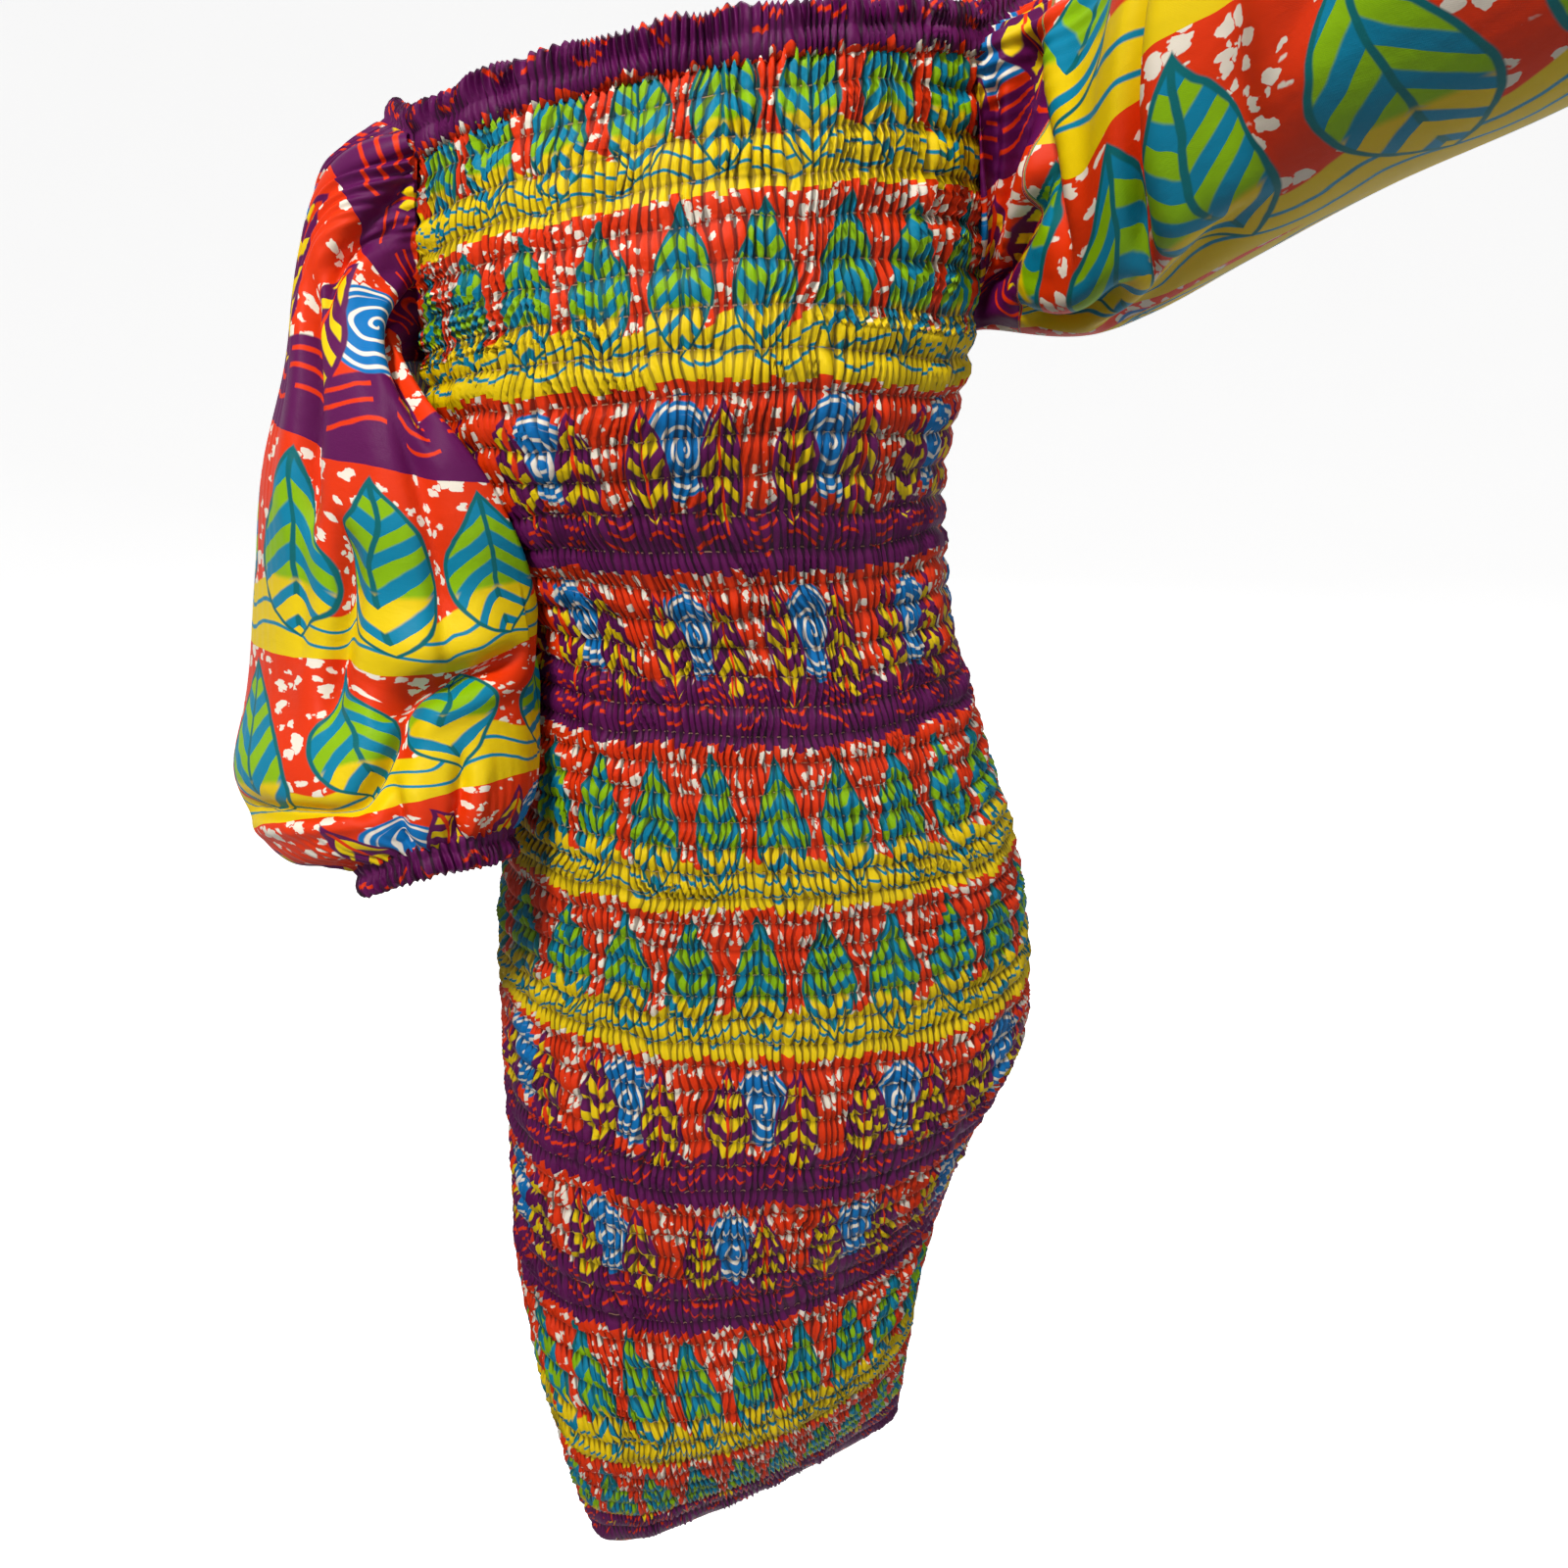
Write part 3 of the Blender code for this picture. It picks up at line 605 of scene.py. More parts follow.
def make_creases(folds, place, angle, length, girth):
    """Depth of the creases, and how far the cloth hidden in them moves the print along and round."""
    depth = 0.0 * (place + angle)
    along_move = depth.copy()
    round_move = depth.copy()
    for start, start_angle, end, end_angle, deep, width, hidden in folds:
        along = (end - start) * length
        across = (end_angle - start_angle) / 360.0 * girth
        size = math.hypot(along, across)
        along /= size
        across /= size
        x = (place - (start + end) / 2) * length
        turn = np.degrees(angle) - (start_angle + end_angle) / 2
        y = ((turn + 180.0) % 360.0 - 180.0) / 360.0 * girth
        run = (x * along + y * across) / size + 0.5
        # The crease bends a little, and is steeper on one side, where the cloth laps over
        bend = CREASE_BEND * np.sin(np.pi * np.clip(run, 0, 1) * 1.6 + 40 * deep * length)
        off = y * along - x * across + bend
        window = ease(run / CREASE_START) * ease((1 - run) / CREASE_END)
        side_width = np.where(off > 0, CREASE_STEEP * width, CREASE_GENTLE * width)
        lip = bell(off, LIP_OFF * width, LIP_WIDTH * width)
        depth += deep * window * (bell(off, 0.0, side_width) - LIP_HEIGHT * lip)
        fade = bell(off, 0.0, HIDDEN_REACH * width)
        move = 0.5 * hidden * window * np.tanh(off / (HIDDEN_STEP * width)) * fade
        along_move -= move * across
        round_move += move * along
    return depth, along_move, round_move


def grid_normals(points, side):
    """Ways out of a sleeve at its points."""
    before = np.concatenate([points[:1], points[:-1]])
    after = np.concatenate([points[1:], points[-1:]])
    across = np.roll(points, -1, 1) - np.roll(points, 1, 1)
    return side * unit(np.cross(after - before, across))


def sleeve_tube(side, stops, place, angle):
    """The plain sleeve: a smooth curve from its root loop, and then the run of its stops."""
    root = sleeve_root(side, stops)
    inside, out, run = even_steps(len(angle), *ways_out(root), np.array([entry[2] for entry in root]))
    goal, after = [
        clear_of_body(ring_points(stops_at(stops, np.full(len(angle), at)), angle), 1.0)
        for at in (SLEEVE_LET_GO, SLEEVE_LET_GO + SLEEVE_STEP)
    ]
    end = (after - goal) * SLEEVE_LET_GO / SLEEVE_STEP
    lean = math.radians(SEAM_LEAN)
    start = SEAM_RUN * (unit(run) * math.cos(lean) + unit(out) * math.sin(lean))
    t = np.clip(place / SLEEVE_LET_GO, 0, 1)[:, None, None]
    curve = smooth_run(inside, start, goal, end, t)
    grid_place, grid_angle = np.meshgrid(place, angle, indexing="ij")
    free = ring_points(stops_at(stops, grid_place), grid_angle)
    points = np.where((grid_place < SLEEVE_LET_GO)[..., None], curve, free)
    return clear_of_body(points, grid_place)


def sleeve_gathers(place, share, seed):
    """Height of the gathers, which fan out from both ends of a sleeve and die away unevenly."""
    zero = 0 * place
    top = np.clip(-np.cos(2 * np.pi * share) * 1.6 + 0.25, 0, 1)
    turn = share * NECK_GATHERS
    wander = 0.7 * smooth_noise(turn * 0.35, place * 5, seed)
    reach = 0.16 + 0.09 * smooth_noise(turn * 0.45 + 5, zero, seed + 3)
    at_top = top * np.exp(-place / reach) * ease(place / 0.012)
    at_seam = (1 - top) * np.exp(-place / (0.45 * reach)) * 0.35 * ease(place / 0.02)
    wrist_reach = 0.095 + 0.05 * smooth_noise(turn * 0.5 + 9, zero, seed + 4)
    at_wrist = np.exp(-(1 - place) / wrist_reach) * (0.35 + 0.65 * ease((1 - place) / 0.03))
    uneven = 0.75 + 0.45 * smooth_noise(turn * 0.5, place * 3, seed + 7)
    ripple = np.sin(2 * np.pi * (turn + wander))
    height = ripple * uneven * (GATHER_DEPTH * at_top + SEAM_GATHER_DEPTH * at_seam)
    turn = share * WRIST_GATHERS
    wander = 0.55 * smooth_noise(turn * 0.4 + 30, place * 6, seed + 1)
    ripple = np.sin(2 * np.pi * (turn + wander))
    return height + ripple * uneven * WRIST_GATHER_DEPTH * at_wrist


def make_sleeve(name, side, stops, folds, puffs, seed):
    """A full sleeve with creases, gathers at both ends, soft rumples and puffs."""
    share = np.arange(SLEEVE_COLUMNS)[None] / SLEEVE_COLUMNS
    angle = 2 * np.pi * share[0]
    rows = np.linspace(0, 1, SLEEVE_ROWS) ** 1.12
    place, grid_angle = np.meshgrid(rows, angle, indexing="ij")
    points = sleeve_tube(side, stops, rows, angle)
    normal = grid_normals(points, side)
    along = np.concatenate([[0], np.cumsum(np.linalg.norm(np.diff(points, axis=0), axis=-1).mean(1))])
    crease, along_move, round_move = make_creases(folds, place, grid_angle, along[-1], SLEEVE_GIRTH)
    height = WALL - crease + sleeve_gathers(place, share, seed)
    rumple = smooth_noise(share * 9 + 2, place * 5, seed + 11)
    rumple = rumple * ease(share / 0.06) * ease((1 - share) / 0.06)
    height = height + RUMPLE_DEPTH * rumple * ease(place / 0.2) * ease((1 - place) / 0.2)
    for middle, spread, at, reach, depth in puffs:
        height = height + depth * bell(np.degrees(grid_angle), middle, spread) * bell(place, at, reach)
    height = np.maximum(height, CREASE_LIMIT)
    height[0] = WALL
    points = points + normal * height[..., None]
    down_print = along[:, None] + along_move
    round_print = share * SLEEVE_FLAT_WIDTH + round_move
    if side > 0:
        # On the raised arm the rows of the print run along the sleeve, and change at the deep crease
        from_top = np.abs(round_print - 0.5 * SLEEVE_FLAT_WIDTH)
        from_top = from_top + CAP_PRINT_JUMP * (place < CAP_PRINT_END)
        maps = {"cloth": (down_print + SLEEVE_PRINT_SHIFT[side], from_top, 0)}
    else:
        maps = {"cloth": (round_print + SLEEVE_PRINT_SHIFT[side], down_print, SLEEVE_FLAT_WIDTH)}
    piece = cloth_object(name, points, True, maps, flip=side > 0)
    return piece, points[-1] - normal[-1] * WALL * 0.5


# Neck casing and cuffs

def make_casing(name, rim, out, up, puckers, seed, frill):
    """An elastic casing: a folded strip of cloth, puckered along its whole length."""
    share = np.arange(len(rim)) / len(rim)
    turn = share * puckers
    drift = 0.6 * smooth_noise(turn * 0.4, 0 * turn, seed)
    uneven = 0.85 + 0.60 * smooth_noise(turn * 0.6, 0 * turn + 3, seed)
    slant = 1.3 * smooth_noise(turn * 0.22, 0 * turn + 5, seed + 1)
    roll = 1 + 0.10 * smooth_noise(turn * 0.3, 0 * turn + 8, seed + 2)
    shape = CASING_SHAPE.copy()
    shape[FRILL_ROWS, 1] -= frill
    rows = []
    for away, rise, show in shape:
        wave = np.sin(2 * np.pi * (turn + drift + slant * rise))
        distance = away + show * PUCKER_DEPTH * wave * uneven
        lift = rise * CASING_HEIGHT * roll + show * PUCKER_RISE * wave
        rows.append(rim + out * distance[:, None] + up * lift[:, None])
    rows.append(rows[0])
    points = np.array(rows)
    length = np.linalg.norm(np.roll(rim, -1, 0) - rim, axis=1).sum() * CASING_FULLNESS
    step = np.linalg.norm(np.diff(shape[:, :2] * [1, CASING_HEIGHT], axis=0), axis=1)
    across = np.cumsum(np.concatenate([[0], step, [CASING_CLOSE]]))
    flat_u = np.broadcast_to(share[None] * length, points.shape[:2])
    flat_v = np.broadcast_to(across[:, None], points.shape[:2])
    spread = np.broadcast_to((turn + drift)[None], points.shape[:2])
    maps = {"cloth": (flat_u, flat_v, length), "rows": (spread, flat_v * 0 + 0.5, puckers)}
    return cloth_object(name, points, True, maps)


def neck_rim():
    """The neck edge as points, way out and way up, evenly spaced."""
    rim = []
    half = 90.0 - ARMHOLE_TURN - SEAM_TURN
    for middle, side, stops in ((0.0, 1, LEFT_STOPS), (180.0, -1, RIGHT_STOPS)):
        for angle in np.linspace(middle - half, middle + half, 40):
            rim.append((body_points(angle, NECK_LINE, 0.0), body_points(angle, NECK_LINE, WALL)))
        arc = sleeve_root(side, stops)[UNDERARM_RING + 1 : UNDERARM_RING + NECK_ARC_STEPS]
        rim += arc[::side]
    inside, out = even_steps(NECK_COLUMNS, *ways_out(rim))
    out = unit(out)
    up = unit(UP - out[:, 2:3] * out)
    return inside + out * WALL * 0.5 + up * SEAM_GAP, out, up


def sleeve_cuff(name, edge, stops, seed):
    """A cuff casing that goes on from a sleeve's last ring."""
    middle = edge.mean(0)
    before = stops_at(stops, np.array([NEAR_CUFF]))[0]
    along = unit(np.cross(edge[len(edge) // 4] - middle, edge[0] - middle))
    if np.dot(along, middle - (before[:3] + before[3:6]) / 2) < 0:
        along = -along
    out = edge - middle
    out = unit(out - (out @ along)[:, None] * along)
    up = along[None] + 0 * out
    return make_casing(name, edge + along * SEAM_GAP, out, up, CUFF_PUCKERS, seed, 0.0)


# Procedural print

class Nodes:
    """Short forms for the nodes of a print."""

    def __init__(self, tree):
        self.tree = tree

    def put(self, kind, **settings):
        node = self.tree.nodes.new(kind)
        for key, value in settings.items():
            setattr(node, key, value)
        return node

    def join(self, value, socket):
        if isinstance(value, bpy.types.NodeSocket):
            self.tree.links.new(value, socket)
        elif isinstance(value, tuple):
            socket.default_value = value if len(value) == len(socket.default_value) else (*value, 1.0)
        else:
            socket.default_value = value

    def math(self, operation, *values):
        node = self.put("ShaderNodeMath", operation=operation)
        for value, socket in zip(values, node.inputs):
            self.join(value, socket)
        return node.outputs[0]

    def add(self, a, b):
        return self.math("ADD", a, b)

    def sub(self, a, b):
        return self.math("SUBTRACT", a, b)

    def mul(self, a, b):
        return self.math("MULTIPLY", a, b)

    def fract(self, a):
        return self.math("FRACT", a)

    def floor(self, a):
        return self.math("FLOOR", a)

    def size(self, a):
        return self.math("ABSOLUTE", a)

    def over(self, a, limit):
        return self.math("GREATER_THAN", a, limit)

    def odd(self, whole):
        """1 where a whole number is odd, and 0 where it is even."""
        return self.math("MODULO", self.add(whole, ABOVE_ZERO), 2.0)

    def split(self, value, kind="ShaderNodeSeparateXYZ"):
        """The three parts of a vector or, with another kind of node, of a colour."""
        node = self.put(kind)
        self.join(value, node.inputs[0])
        return node.outputs[0], node.outputs[1], node.outputs[2]

    def sine(self, a):
        return self.math("SINE", a)

    def below(self, a, limit, soft):
        """1 where a is below the limit, 0 above it, with a soft step between."""
        node = self.put("ShaderNodeMapRange", interpolation_type="SMOOTHSTEP")
        self.join(a, node.inputs["Value"])
        low = self.sub(limit, soft) if isinstance(limit, bpy.types.NodeSocket) else limit - soft
        high = self.add(limit, soft) if isinstance(limit, bpy.types.NodeSocket) else limit + soft
        self.join(low, node.inputs["From Min"])
        self.join(high, node.inputs["From Max"])
        node.inputs["To Min"].default_value = 1.0
        node.inputs["To Max"].default_value = 0.0
        return node.outputs["Result"]

    def mix(self, share, a, b, blend="MIX"):
        node = self.put("ShaderNodeMix", data_type="RGBA", blend_type=blend)
        self.join(share, node.inputs[0])
        self.join(a, node.inputs[6])
        self.join(b, node.inputs[7])
        return node.outputs[2]

    def vector(self, x, y, z=0.0):
        node = self.put("ShaderNodeCombineXYZ")
        for value, socket in zip((x, y, z), node.inputs):
            self.join(value, socket)
        return node.outputs[0]

    def noise(self, vector, scale, detail=2.0):
        node = self.put("ShaderNodeTexNoise")
        self.join(vector, node.inputs["Vector"])
        node.inputs["Scale"].default_value = scale
        node.inputs["Detail"].default_value = detail
        return node.outputs["Fac"]


def linear(red, green, blue):
    def one(value):
        value /= 255.0
        return value / 12.92 if value <= 0.04045 else ((value + 0.055) / 1.055) ** 2.4

    return (one(red), one(green), one(blue), 1.0)


ORANGE = linear(232, 54, 0)
YELLOW = linear(240, 208, 0)
LIME = linear(140, 190, 0)
TURQUOISE = linear(0, 132, 170)
TEAL = linear(0, 104, 110)
PURPLE = linear(92, 12, 80)
BLUE = linear(4, 116, 188)
CREAM = linear(246, 238, 222)

# The print's own sizes on flat cloth: width of a leaf's cell and height of a row of leaves
LEAF_PITCH = 0.066
LEAF_ROW = 0.1100
LEAF_TIP = 0.012
ROW_SHIFT = 0.0250
LEAF_SWELL = 0.85

# A multiple of four that lifts every cell's number above zero, where remainders are plain
ABOVE_ZERO = 400.0

# Half width of the lines of the waves, and the softness of the print's edges
LINE = 0.010
LINE_EDGE = 0.004
EDGE = 0.006

# How much the dye varies, and its darkest tone; the share and tone of the painted shade in the valleys
# of the folds and in the groove at each row of stitches
DYE_SHARE = 0.55
DYE_TONE = (0.86, 0.80, 0.78, 1.0)
FOLD_SHADE_SHARE = 0.92
FOLD_SHADE_TONE = (0.05, 0.03, 0.03, 1.0)
ROW_SHADE_SHARE = 0.38
ROW_SHADE_TONE = (0.10, 0.07, 0.06, 1.0)
THREAD = linear(206, 160, 124)


def build_print():
    """Colour of the wax print from flat coordinates in metres."""
    tree = bpy.data.node_groups.new("wax_print", "ShaderNodeTree")
    tree.interface.new_socket("Flat", in_out="INPUT", socket_type="NodeSocketVector")
    tree.interface.new_socket("Shift", in_out="INPUT", socket_type="NodeSocketFloat")
    tree.interface.new_socket("Colour", in_out="OUTPUT", socket_type="NodeSocketColor")
    n = Nodes(tree)
    entry = n.put("NodeGroupInput")
    leave = n.put("NodeGroupOutput")
    flat = entry.outputs["Flat"]
    u, v = n.split(flat)[:2]
    # Hand-cut edges: the flat place wavers by a millimetre or so
    waver_x = n.mul(n.sub(n.noise(flat, 45.0), 0.5), 0.0035)
    waver_y = n.mul(n.sub(n.noise(n.vector(n.add(v, 3.0), u), 45.0), 0.5), 0.0035)
    flat_x = n.add(u, waver_x)
    flat_y = n.add(n.add(v, waver_y), n.add(entry.outputs["Shift"], ROW_SHIFT))
    across = n.math("DIVIDE", flat_x, LEAF_PITCH)
    down = n.math("DIVIDE", flat_y, LEAF_ROW)
    row = n.floor(down)
    y = n.fract(down)
    kind = n.over(n.math("MODULO", n.add(row, ABOVE_ZERO), 4.0), 1.5)
    shifted = n.add(across, n.mul(n.odd(row), 0.5))
    cell = n.floor(shifted)
    x = n.sub(n.fract(shifted), 0.5)
    side = n.size(x)

    # Ground of irregular pebbles left by cracked wax
    spot = n.vector(n.add(flat_x, n.mul(n.sub(n.noise(flat, 210.0), 0.5), 0.010)), flat_y)
    cells = n.put("ShaderNodeTexVoronoi", feature="F1")
    n.join(spot, cells.inputs["Vector"])
    cells.inputs["Scale"].default_value = 135.0
    size, kept = n.split(cells.outputs["Color"], "ShaderNodeSeparateColor")[:2]
    pebble = n.below(cells.outputs["Distance"], n.add(n.mul(size, 0.32), 0.21), 0.03)
    pebble = n.mul(pebble, n.over(kept, 0.16))
    ground = n.mix(pebble, ORANGE, CREAM)

    def leaf(top, bottom, widest):
        """Almond outline: half width at this height less the distance from the middle."""
        run = n.math("DIVIDE", n.sub(y, top), bottom - top)
        run = n.math("MINIMUM", n.math("MAXIMUM", run, 0.0), 1.0)
        arch = n.math("MAXIMUM", n.sine(n.mul(n.math("POWER", run, 1.25), math.pi)), 0.0)
        swell = n.math("POWER", arch, LEAF_SWELL)
        return n.sub(n.sub(n.mul(swell, widest), LEAF_TIP), side)

    def chevrons(freq, angle):
        """Bands that bend in a V at the midrib, up in one leaf and down in the next."""
        way = n.sub(n.mul(n.odd(cell), 2.0), 1.0)
        return n.fract(n.add(n.mul(y, freq), n.mul(n.mul(side, angle), way)))

    def wave_line(band, offset):
        """1 on a thin line that follows a wave at an offset below it."""
        line = n.below(n.size(n.sub(band, offset)), LINE, LINE_EDGE)
        return n.mul(line, n.over(band, 0.0))

    # Rows of green leaves over a yellow wave
    wave = n.mul(n.sine(n.mul(across, 2 * math.pi)), 0.040)
    band = n.sub(y, n.add(wave, 0.680))
    green = n.mix(n.below(band, 0.0, EDGE), YELLOW, ground)
    for offset in (0.100, 0.205):
        green = n.mix(wave_line(band, offset), green, TURQUOISE)
    shape = leaf(0.03, 0.90, 0.405)
    veins = chevrons(6.0, 3.2)
    inner = n.mix(n.below(veins, 0.50, 0.05), TURQUOISE, LIME)
    inner = n.mix(n.below(side, 0.020, EDGE), inner, TEAL)
    # The lower veins of a green leaf are yellow
    low = n.below(n.sub(0.0, y), -0.60, 0.02)
    inner = n.mix(n.mul(low, n.below(veins, 0.62, 0.05)), inner, YELLOW)
    rim = n.mix(n.below(shape, 0.040, 0.008), inner, TEAL)
    green = n.mix(n.below(shape, 0.0, 0.008), rim, green)

    # Rows of yellow and purple leaves over a purple wave, with blue discs between some of them
    wave = n.mul(n.sine(n.add(n.mul(across, 2 * math.pi), 1.9)), 0.045)
    band = n.sub(y, n.add(wave, 0.640))
    purple = n.mix(n.below(band, 0.0, EDGE), PURPLE, ground)
    for offset in (0.055, 0.125, 0.205):
        broken = n.over(n.sine(n.add(n.mul(across, 9.0), offset * 90.0)), -0.45)
        purple = n.mix(n.mul(wave_line(band, offset), broken), purple, ORANGE)
    near = n.sub(n.fract(n.add(shifted, 0.5)), 0.5)
    gap_cell = n.floor(n.add(shifted, 0.5))
    has_disc = n.math("LESS_THAN", n.odd(gap_cell), 0.5)
    centre_y = n.mul(n.sub(y, 0.34), LEAF_ROW / LEAF_PITCH)
    radius = n.math("SQRT", n.add(n.mul(near, near), n.mul(centre_y, centre_y)))
    turn = n.math("ARCTAN2", centre_y, near)
    curl = n.fract(n.add(n.mul(radius, 7.5), n.math("DIVIDE", turn, 2 * math.pi)))
    spiral = n.mul(n.below(n.size(n.sub(curl, 0.5)), 0.13, 0.04), n.below(radius, 0.34, 0.01))
    disc = n.mix(spiral, BLUE, CREAM)
    disc = n.mix(n.below(n.size(n.sub(radius, 0.40)), 0.016, EDGE), disc, CREAM)
    purple = n.mix(n.mul(n.below(radius, 0.45, 0.008), has_disc), purple, disc)
    shape = leaf(0.05, 0.80, 0.330)
    veins = chevrons(6.6, 3.0)
    inner = n.mix(n.below(veins, 0.46, 0.05), PURPLE, YELLOW)
    inner = n.mix(n.below(side, 0.020, EDGE), inner, ORANGE)
    rim = n.mix(n.below(shape, 0.045, 0.008), inner, PURPLE)
    purple = n.mix(n.below(shape, 0.0, 0.008), rim, purple)

    colour = n.mix(kind, green, purple)
    n.join(colour, leave.inputs["Colour"])
    return tree


def cloth_material(name, group, shift, rows):
    """Printed cotton: the print, a little unevenness of dye, weave, the stitches in the rows, and
    painted shade in the valleys of the folds and along the rows of stitches.
    """
    material = bpy.data.materials.new(name)
    material.use_nodes = True
    n = Nodes(material.node_tree)
    shader = material.node_tree.nodes["Principled BSDF"]
    flat = n.put("ShaderNodeUVMap", uv_map="cloth").outputs[0]
    u, v = n.split(flat)[:2]
    seen = flat
    if rows:
        turn, place = n.split(n.put("ShaderNodeUVMap", uv_map="rows").outputs[0])[:2]
        # Each little fold shows a strip of the print and hides the cloth beside it
        chance = n.put("ShaderNodeTexWhiteNoise", noise_dimensions="2D")
        n.join(n.vector(n.floor(n.add(turn, 0.25)), n.floor(place)), chance.inputs["Vector"])
        chances = n.split(chance.outputs["Color"], "ShaderNodeSeparateColor")
        hop_u = n.mul(n.sub(chances[0], 0.5), 0.0045)
        hop_v = n.mul(n.sub(chances[1], 0.5), 0.0060)
        seen = n.vector(n.add(u, hop_u), n.add(v, hop_v))
    pattern = n.put("ShaderNodeGroup")
    pattern.node_tree = group
    n.join(seen, pattern.inputs["Flat"])
    pattern.inputs["Shift"].default_value = shift
    dye = n.noise(flat, 38.0, 4.0)
    colour = n.mix(n.mul(dye, DYE_SHARE), pattern.outputs["Colour"], DYE_TONE, "MULTIPLY")
    weave = n.mul(n.sine(n.mul(u, 9000.0)), n.sine(n.mul(v, 9000.0)))
    slub = n.noise(n.vector(n.mul(u, 0.25), v), 1400.0, 2.0)
    creases = n.noise(flat, 120.0, 3.0)
    height = n.add(n.mul(weave, 0.00003), n.mul(slub, 0.00010))
    height = n.add(height, n.mul(creases, 0.0006))
    if rows:
        from_row = n.size(n.sub(n.fract(n.add(place, 0.5)), 0.5))
        fold = n.sine(n.mul(turn, 2 * math.pi))
        # Painted shade: the valleys of the little folds are darkened, more widely near a row of
        # stitches, by a random amount in each fold
        pinch = n.below(from_row, 0.15, 0.15)
        fold_shade_mask = n.below(fold, n.add(n.mul(pinch, 0.70), -0.52), 0.40)
        deep = n.mul(fold_shade_mask, n.add(0.55, n.mul(chances[2], 0.45)))
        colour = n.mix(n.mul(deep, FOLD_SHADE_SHARE), colour, FOLD_SHADE_TONE, "MULTIPLY")
        # Painted shade: the cloth is darkened in the groove where each row of stitches pinches it in
        row_shade_mask = n.below(from_row, 0.060, 0.060)
        colour = n.mix(n.mul(row_shade_mask, ROW_SHADE_SHARE), colour, ROW_SHADE_TONE, "MULTIPLY")
        worn = n.noise(n.vector(n.mul(turn, 0.4), n.floor(n.add(place, 0.5))), 3.0)
        dash = n.mul(n.over(n.fract(turn), 0.45), n.over(worn, 0.50))
        thread = n.mul(n.below(from_row, 0.018, 0.010), dash)
        colour = n.mix(n.mul(thread, 0.45), colour, THREAD)
        height = n.add(height, n.mul(fold, 0.0010))
        height = n.add(height, n.mul(thread, 0.0003))
    bump = n.put("ShaderNodeBump")
    bump.inputs["Strength"].default_value = 0.75
    bump.inputs["Distance"].default_value = 1.0
    n.join(height, bump.inputs["Height"])
    n.join(colour, shader.inputs["Base Color"])
    n.join(bump.outputs[0], shader.inputs["Normal"])
    shader.inputs["Roughness"].default_value = 0.50
    shader.inputs["Metallic"].default_value = 0.0
    shader.inputs["Specular IOR Level"].default_value = 0.14
    return material


# The pieces

front = make_panel("front_cloth", 0.0, 11)
back = make_panel("back_cloth", 180.0, 57)
right, right_rim = make_sleeve("right_sleeve_cloth", -1, RIGHT_STOPS, RIGHT_FOLDS, RIGHT_PUFFS, 101)
left, left_rim = make_sleeve("left_sleeve_cloth", 1, LEFT_STOPS, LEFT_FOLDS, [], 131)
band = make_casing("neck_casing", *neck_rim(), NECK_PUCKERS, 171, NECK_FRILL)
right_cuff = sleeve_cuff("right_cuff_casing", right_rim, RIGHT_STOPS, 191)
left_cuff = sleeve_cuff("left_cuff_casing", left_rim, LEFT_STOPS, 197)

wax_print = build_print()
PIECES = [
    (front, "front_panel", 0.0, True),
    (back, "back_panel", 0.0, True),
    (right, "right_sleeve", 0.266, False),
    (left, "left_sleeve", -0.069, False),
    (band, "neck_band", 0.378, True),
    (right_cuff, "right_cuff", 0.378, True),
    (left_cuff, "left_cuff", 0.378, True),
]
for piece, node, shift, has_rows in PIECES:
    piece.data.materials.append(cloth_material(node + "_print", wax_print, shift, has_rows))
    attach(piece, "root")
    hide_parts(node)

# Stage

FLOOR = -1.22
FLOOR_REACH = 4.0
COVE = 3.0
COVE_STEPS = 16
STAGE_HEIGHT = 9.0
STAGE_TURNS = 72
WHITE = (1.0, 1.0, 1.0)

# A round floor that bends up into a round wall
profile = [(FLOOR_REACH, FLOOR)]
for step in range(1, COVE_STEPS + 1):
    bend = math.radians(90 * step / COVE_STEPS)
    profile.append((FLOOR_REACH + COVE * math.sin(bend), FLOOR + COVE * (1 - math.cos(bend))))
profile.append((FLOOR_REACH + COVE, FLOOR + STAGE_HEIGHT))
count = len(profile)
stage_points = [(0.0, 0.0, FLOOR)]
stage_faces = []
for turn in range(STAGE_TURNS):
    way = 2 * math.pi * turn / STAGE_TURNS
    stage_points += [(reach * math.cos(way), reach * math.sin(way), z) for reach, z in profile]
    here = 1 + turn * count
    beside = 1 + (turn + 1) % STAGE_TURNS * count
    stage_faces.append((0, here, beside))
    stage_faces += [(here + i, here + i + 1, beside + i + 1, beside + i) for i in range(count - 1)]
stage_mesh = bpy.data.meshes.new("studio_floor")
stage_mesh.from_pydata(stage_points, [], stage_faces)
stage_mesh.shade_smooth()
floor = bpy.data.objects.new("studio_floor", stage_mesh)
bpy.context.scene.collection.objects.link(floor)
paint = bpy.data.materials.new("studio_paint")
paint.use_nodes = True
paint_shader = paint.node_tree.nodes["Principled BSDF"]
paint_nodes = Nodes(paint.node_tree)
place = paint_nodes.put("ShaderNodeTexCoord").outputs["Object"]
speck = paint_nodes.noise(place, 3.0)
shade = paint_nodes.mix(speck, (0.86, 0.86, 0.86, 1.0), (0.90, 0.90, 0.90, 1.0))
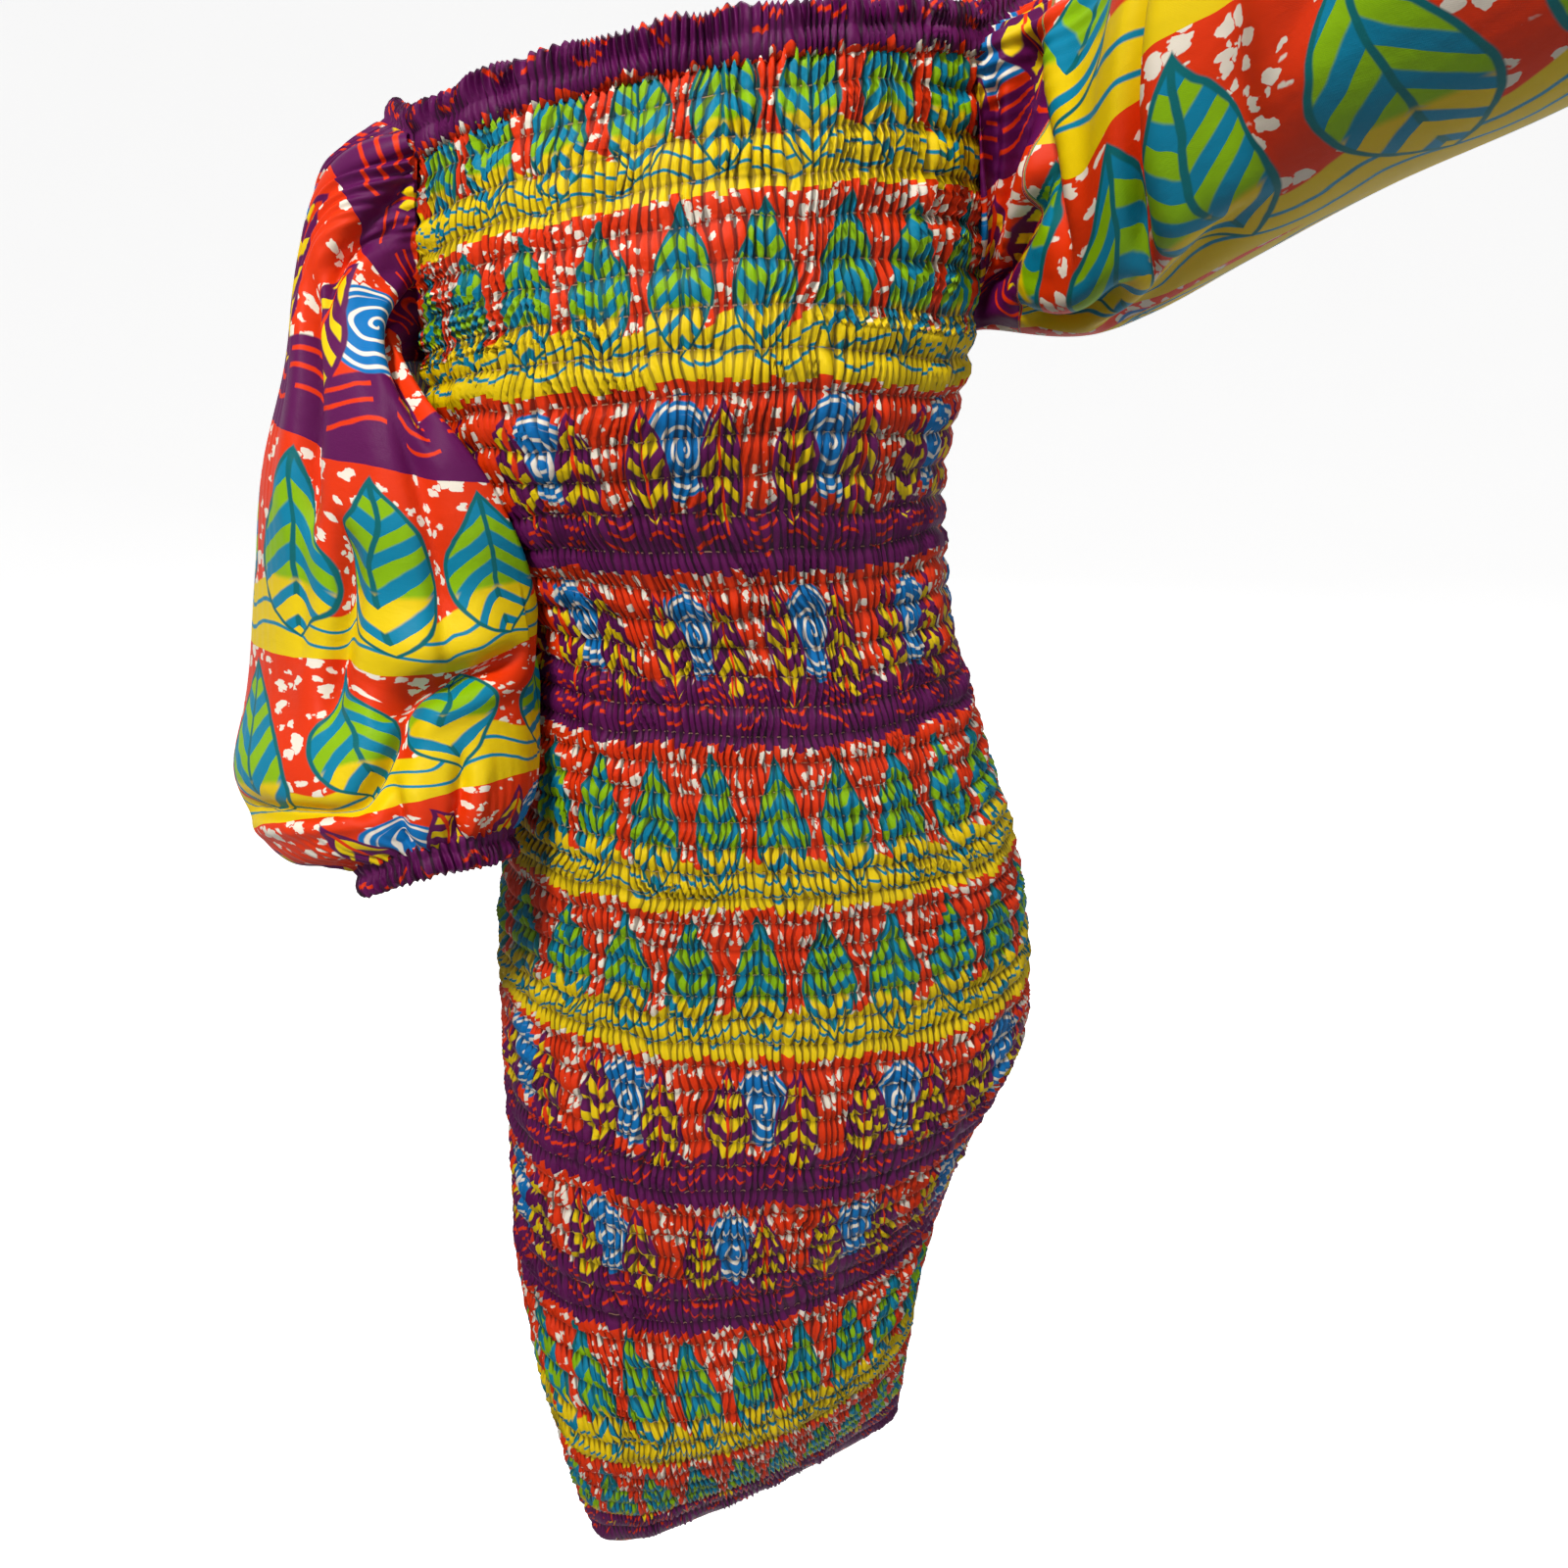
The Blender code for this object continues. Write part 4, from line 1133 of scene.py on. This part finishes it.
paint_nodes.join(shade, paint_shader.inputs["Base Color"])
paint_shader.inputs["Roughness"].default_value = 0.9
paint_shader.inputs["Emission Color"].default_value = (*WHITE, 1.0)
paint_shader.inputs["Emission Strength"].default_value = 0.78
floor.data.materials.append(paint)
# The stage is bright to look at, and the lamps alone light the cloth
floor.visible_diffuse = False
floor.visible_shadow = False

world = bpy.data.worlds.new("studio")
bpy.context.scene.world = world
world.use_nodes = True
sky = world.node_tree.nodes["Background"]
sky.inputs["Color"].default_value = (*WHITE, 1.0)
sky.inputs["Strength"].default_value = 0.12


def soft_light(name, place, aim, size, power, colour):
    """A round lamp that points at a place."""
    data = bpy.data.lights.new(name, "AREA")
    data.shape = "DISK"
    data.size = size
    data.energy = power
    data.color = colour
    lamp = bpy.data.objects.new(name, data)
    bpy.context.scene.collection.objects.link(lamp)
    lamp.location = place
    way = np.array(aim) - np.array(place)
    lamp.rotation_euler = (
        math.atan2(math.hypot(way[0], way[1]), -way[2]),
        0.0,
        math.atan2(way[1], way[0]) - math.pi / 2,
    )


soft_light("key", (-0.45, -1.25, 1.30), (0.0, 0.0, -0.20), 0.35, 37, (1.0, 0.98, 0.95))
soft_light("fill", (1.5, -1.9, 0.3), (0.0, 0.0, -0.4), 1.2, 10, (0.96, 0.98, 1.0))
soft_light("top", (0.2, 0.6, 2.2), (0.0, 0.0, -0.2), 1.4, 14, WHITE)
soft_light("behind", (0.4, 2.6, 1.5), (0.0, 0.0, -0.2), 1.2, 44, WHITE)

CAMERA_PLACE = (0.045, -0.72, 0.047)
CAMERA_TILT = 66.0
CAMERA_LENS = 27.0
camera_data = bpy.data.cameras.new("camera")
camera_data.lens = CAMERA_LENS
camera_data.sensor_width = 36.0
camera_data.clip_start = 0.01
camera = bpy.data.objects.new("camera", camera_data)
bpy.context.scene.collection.objects.link(camera)
camera.location = CAMERA_PLACE
camera.rotation_euler = (math.radians(CAMERA_TILT), 0.0, 0.0)
bpy.context.scene.camera = camera
bpy.context.scene.view_settings.view_transform = "Standard"
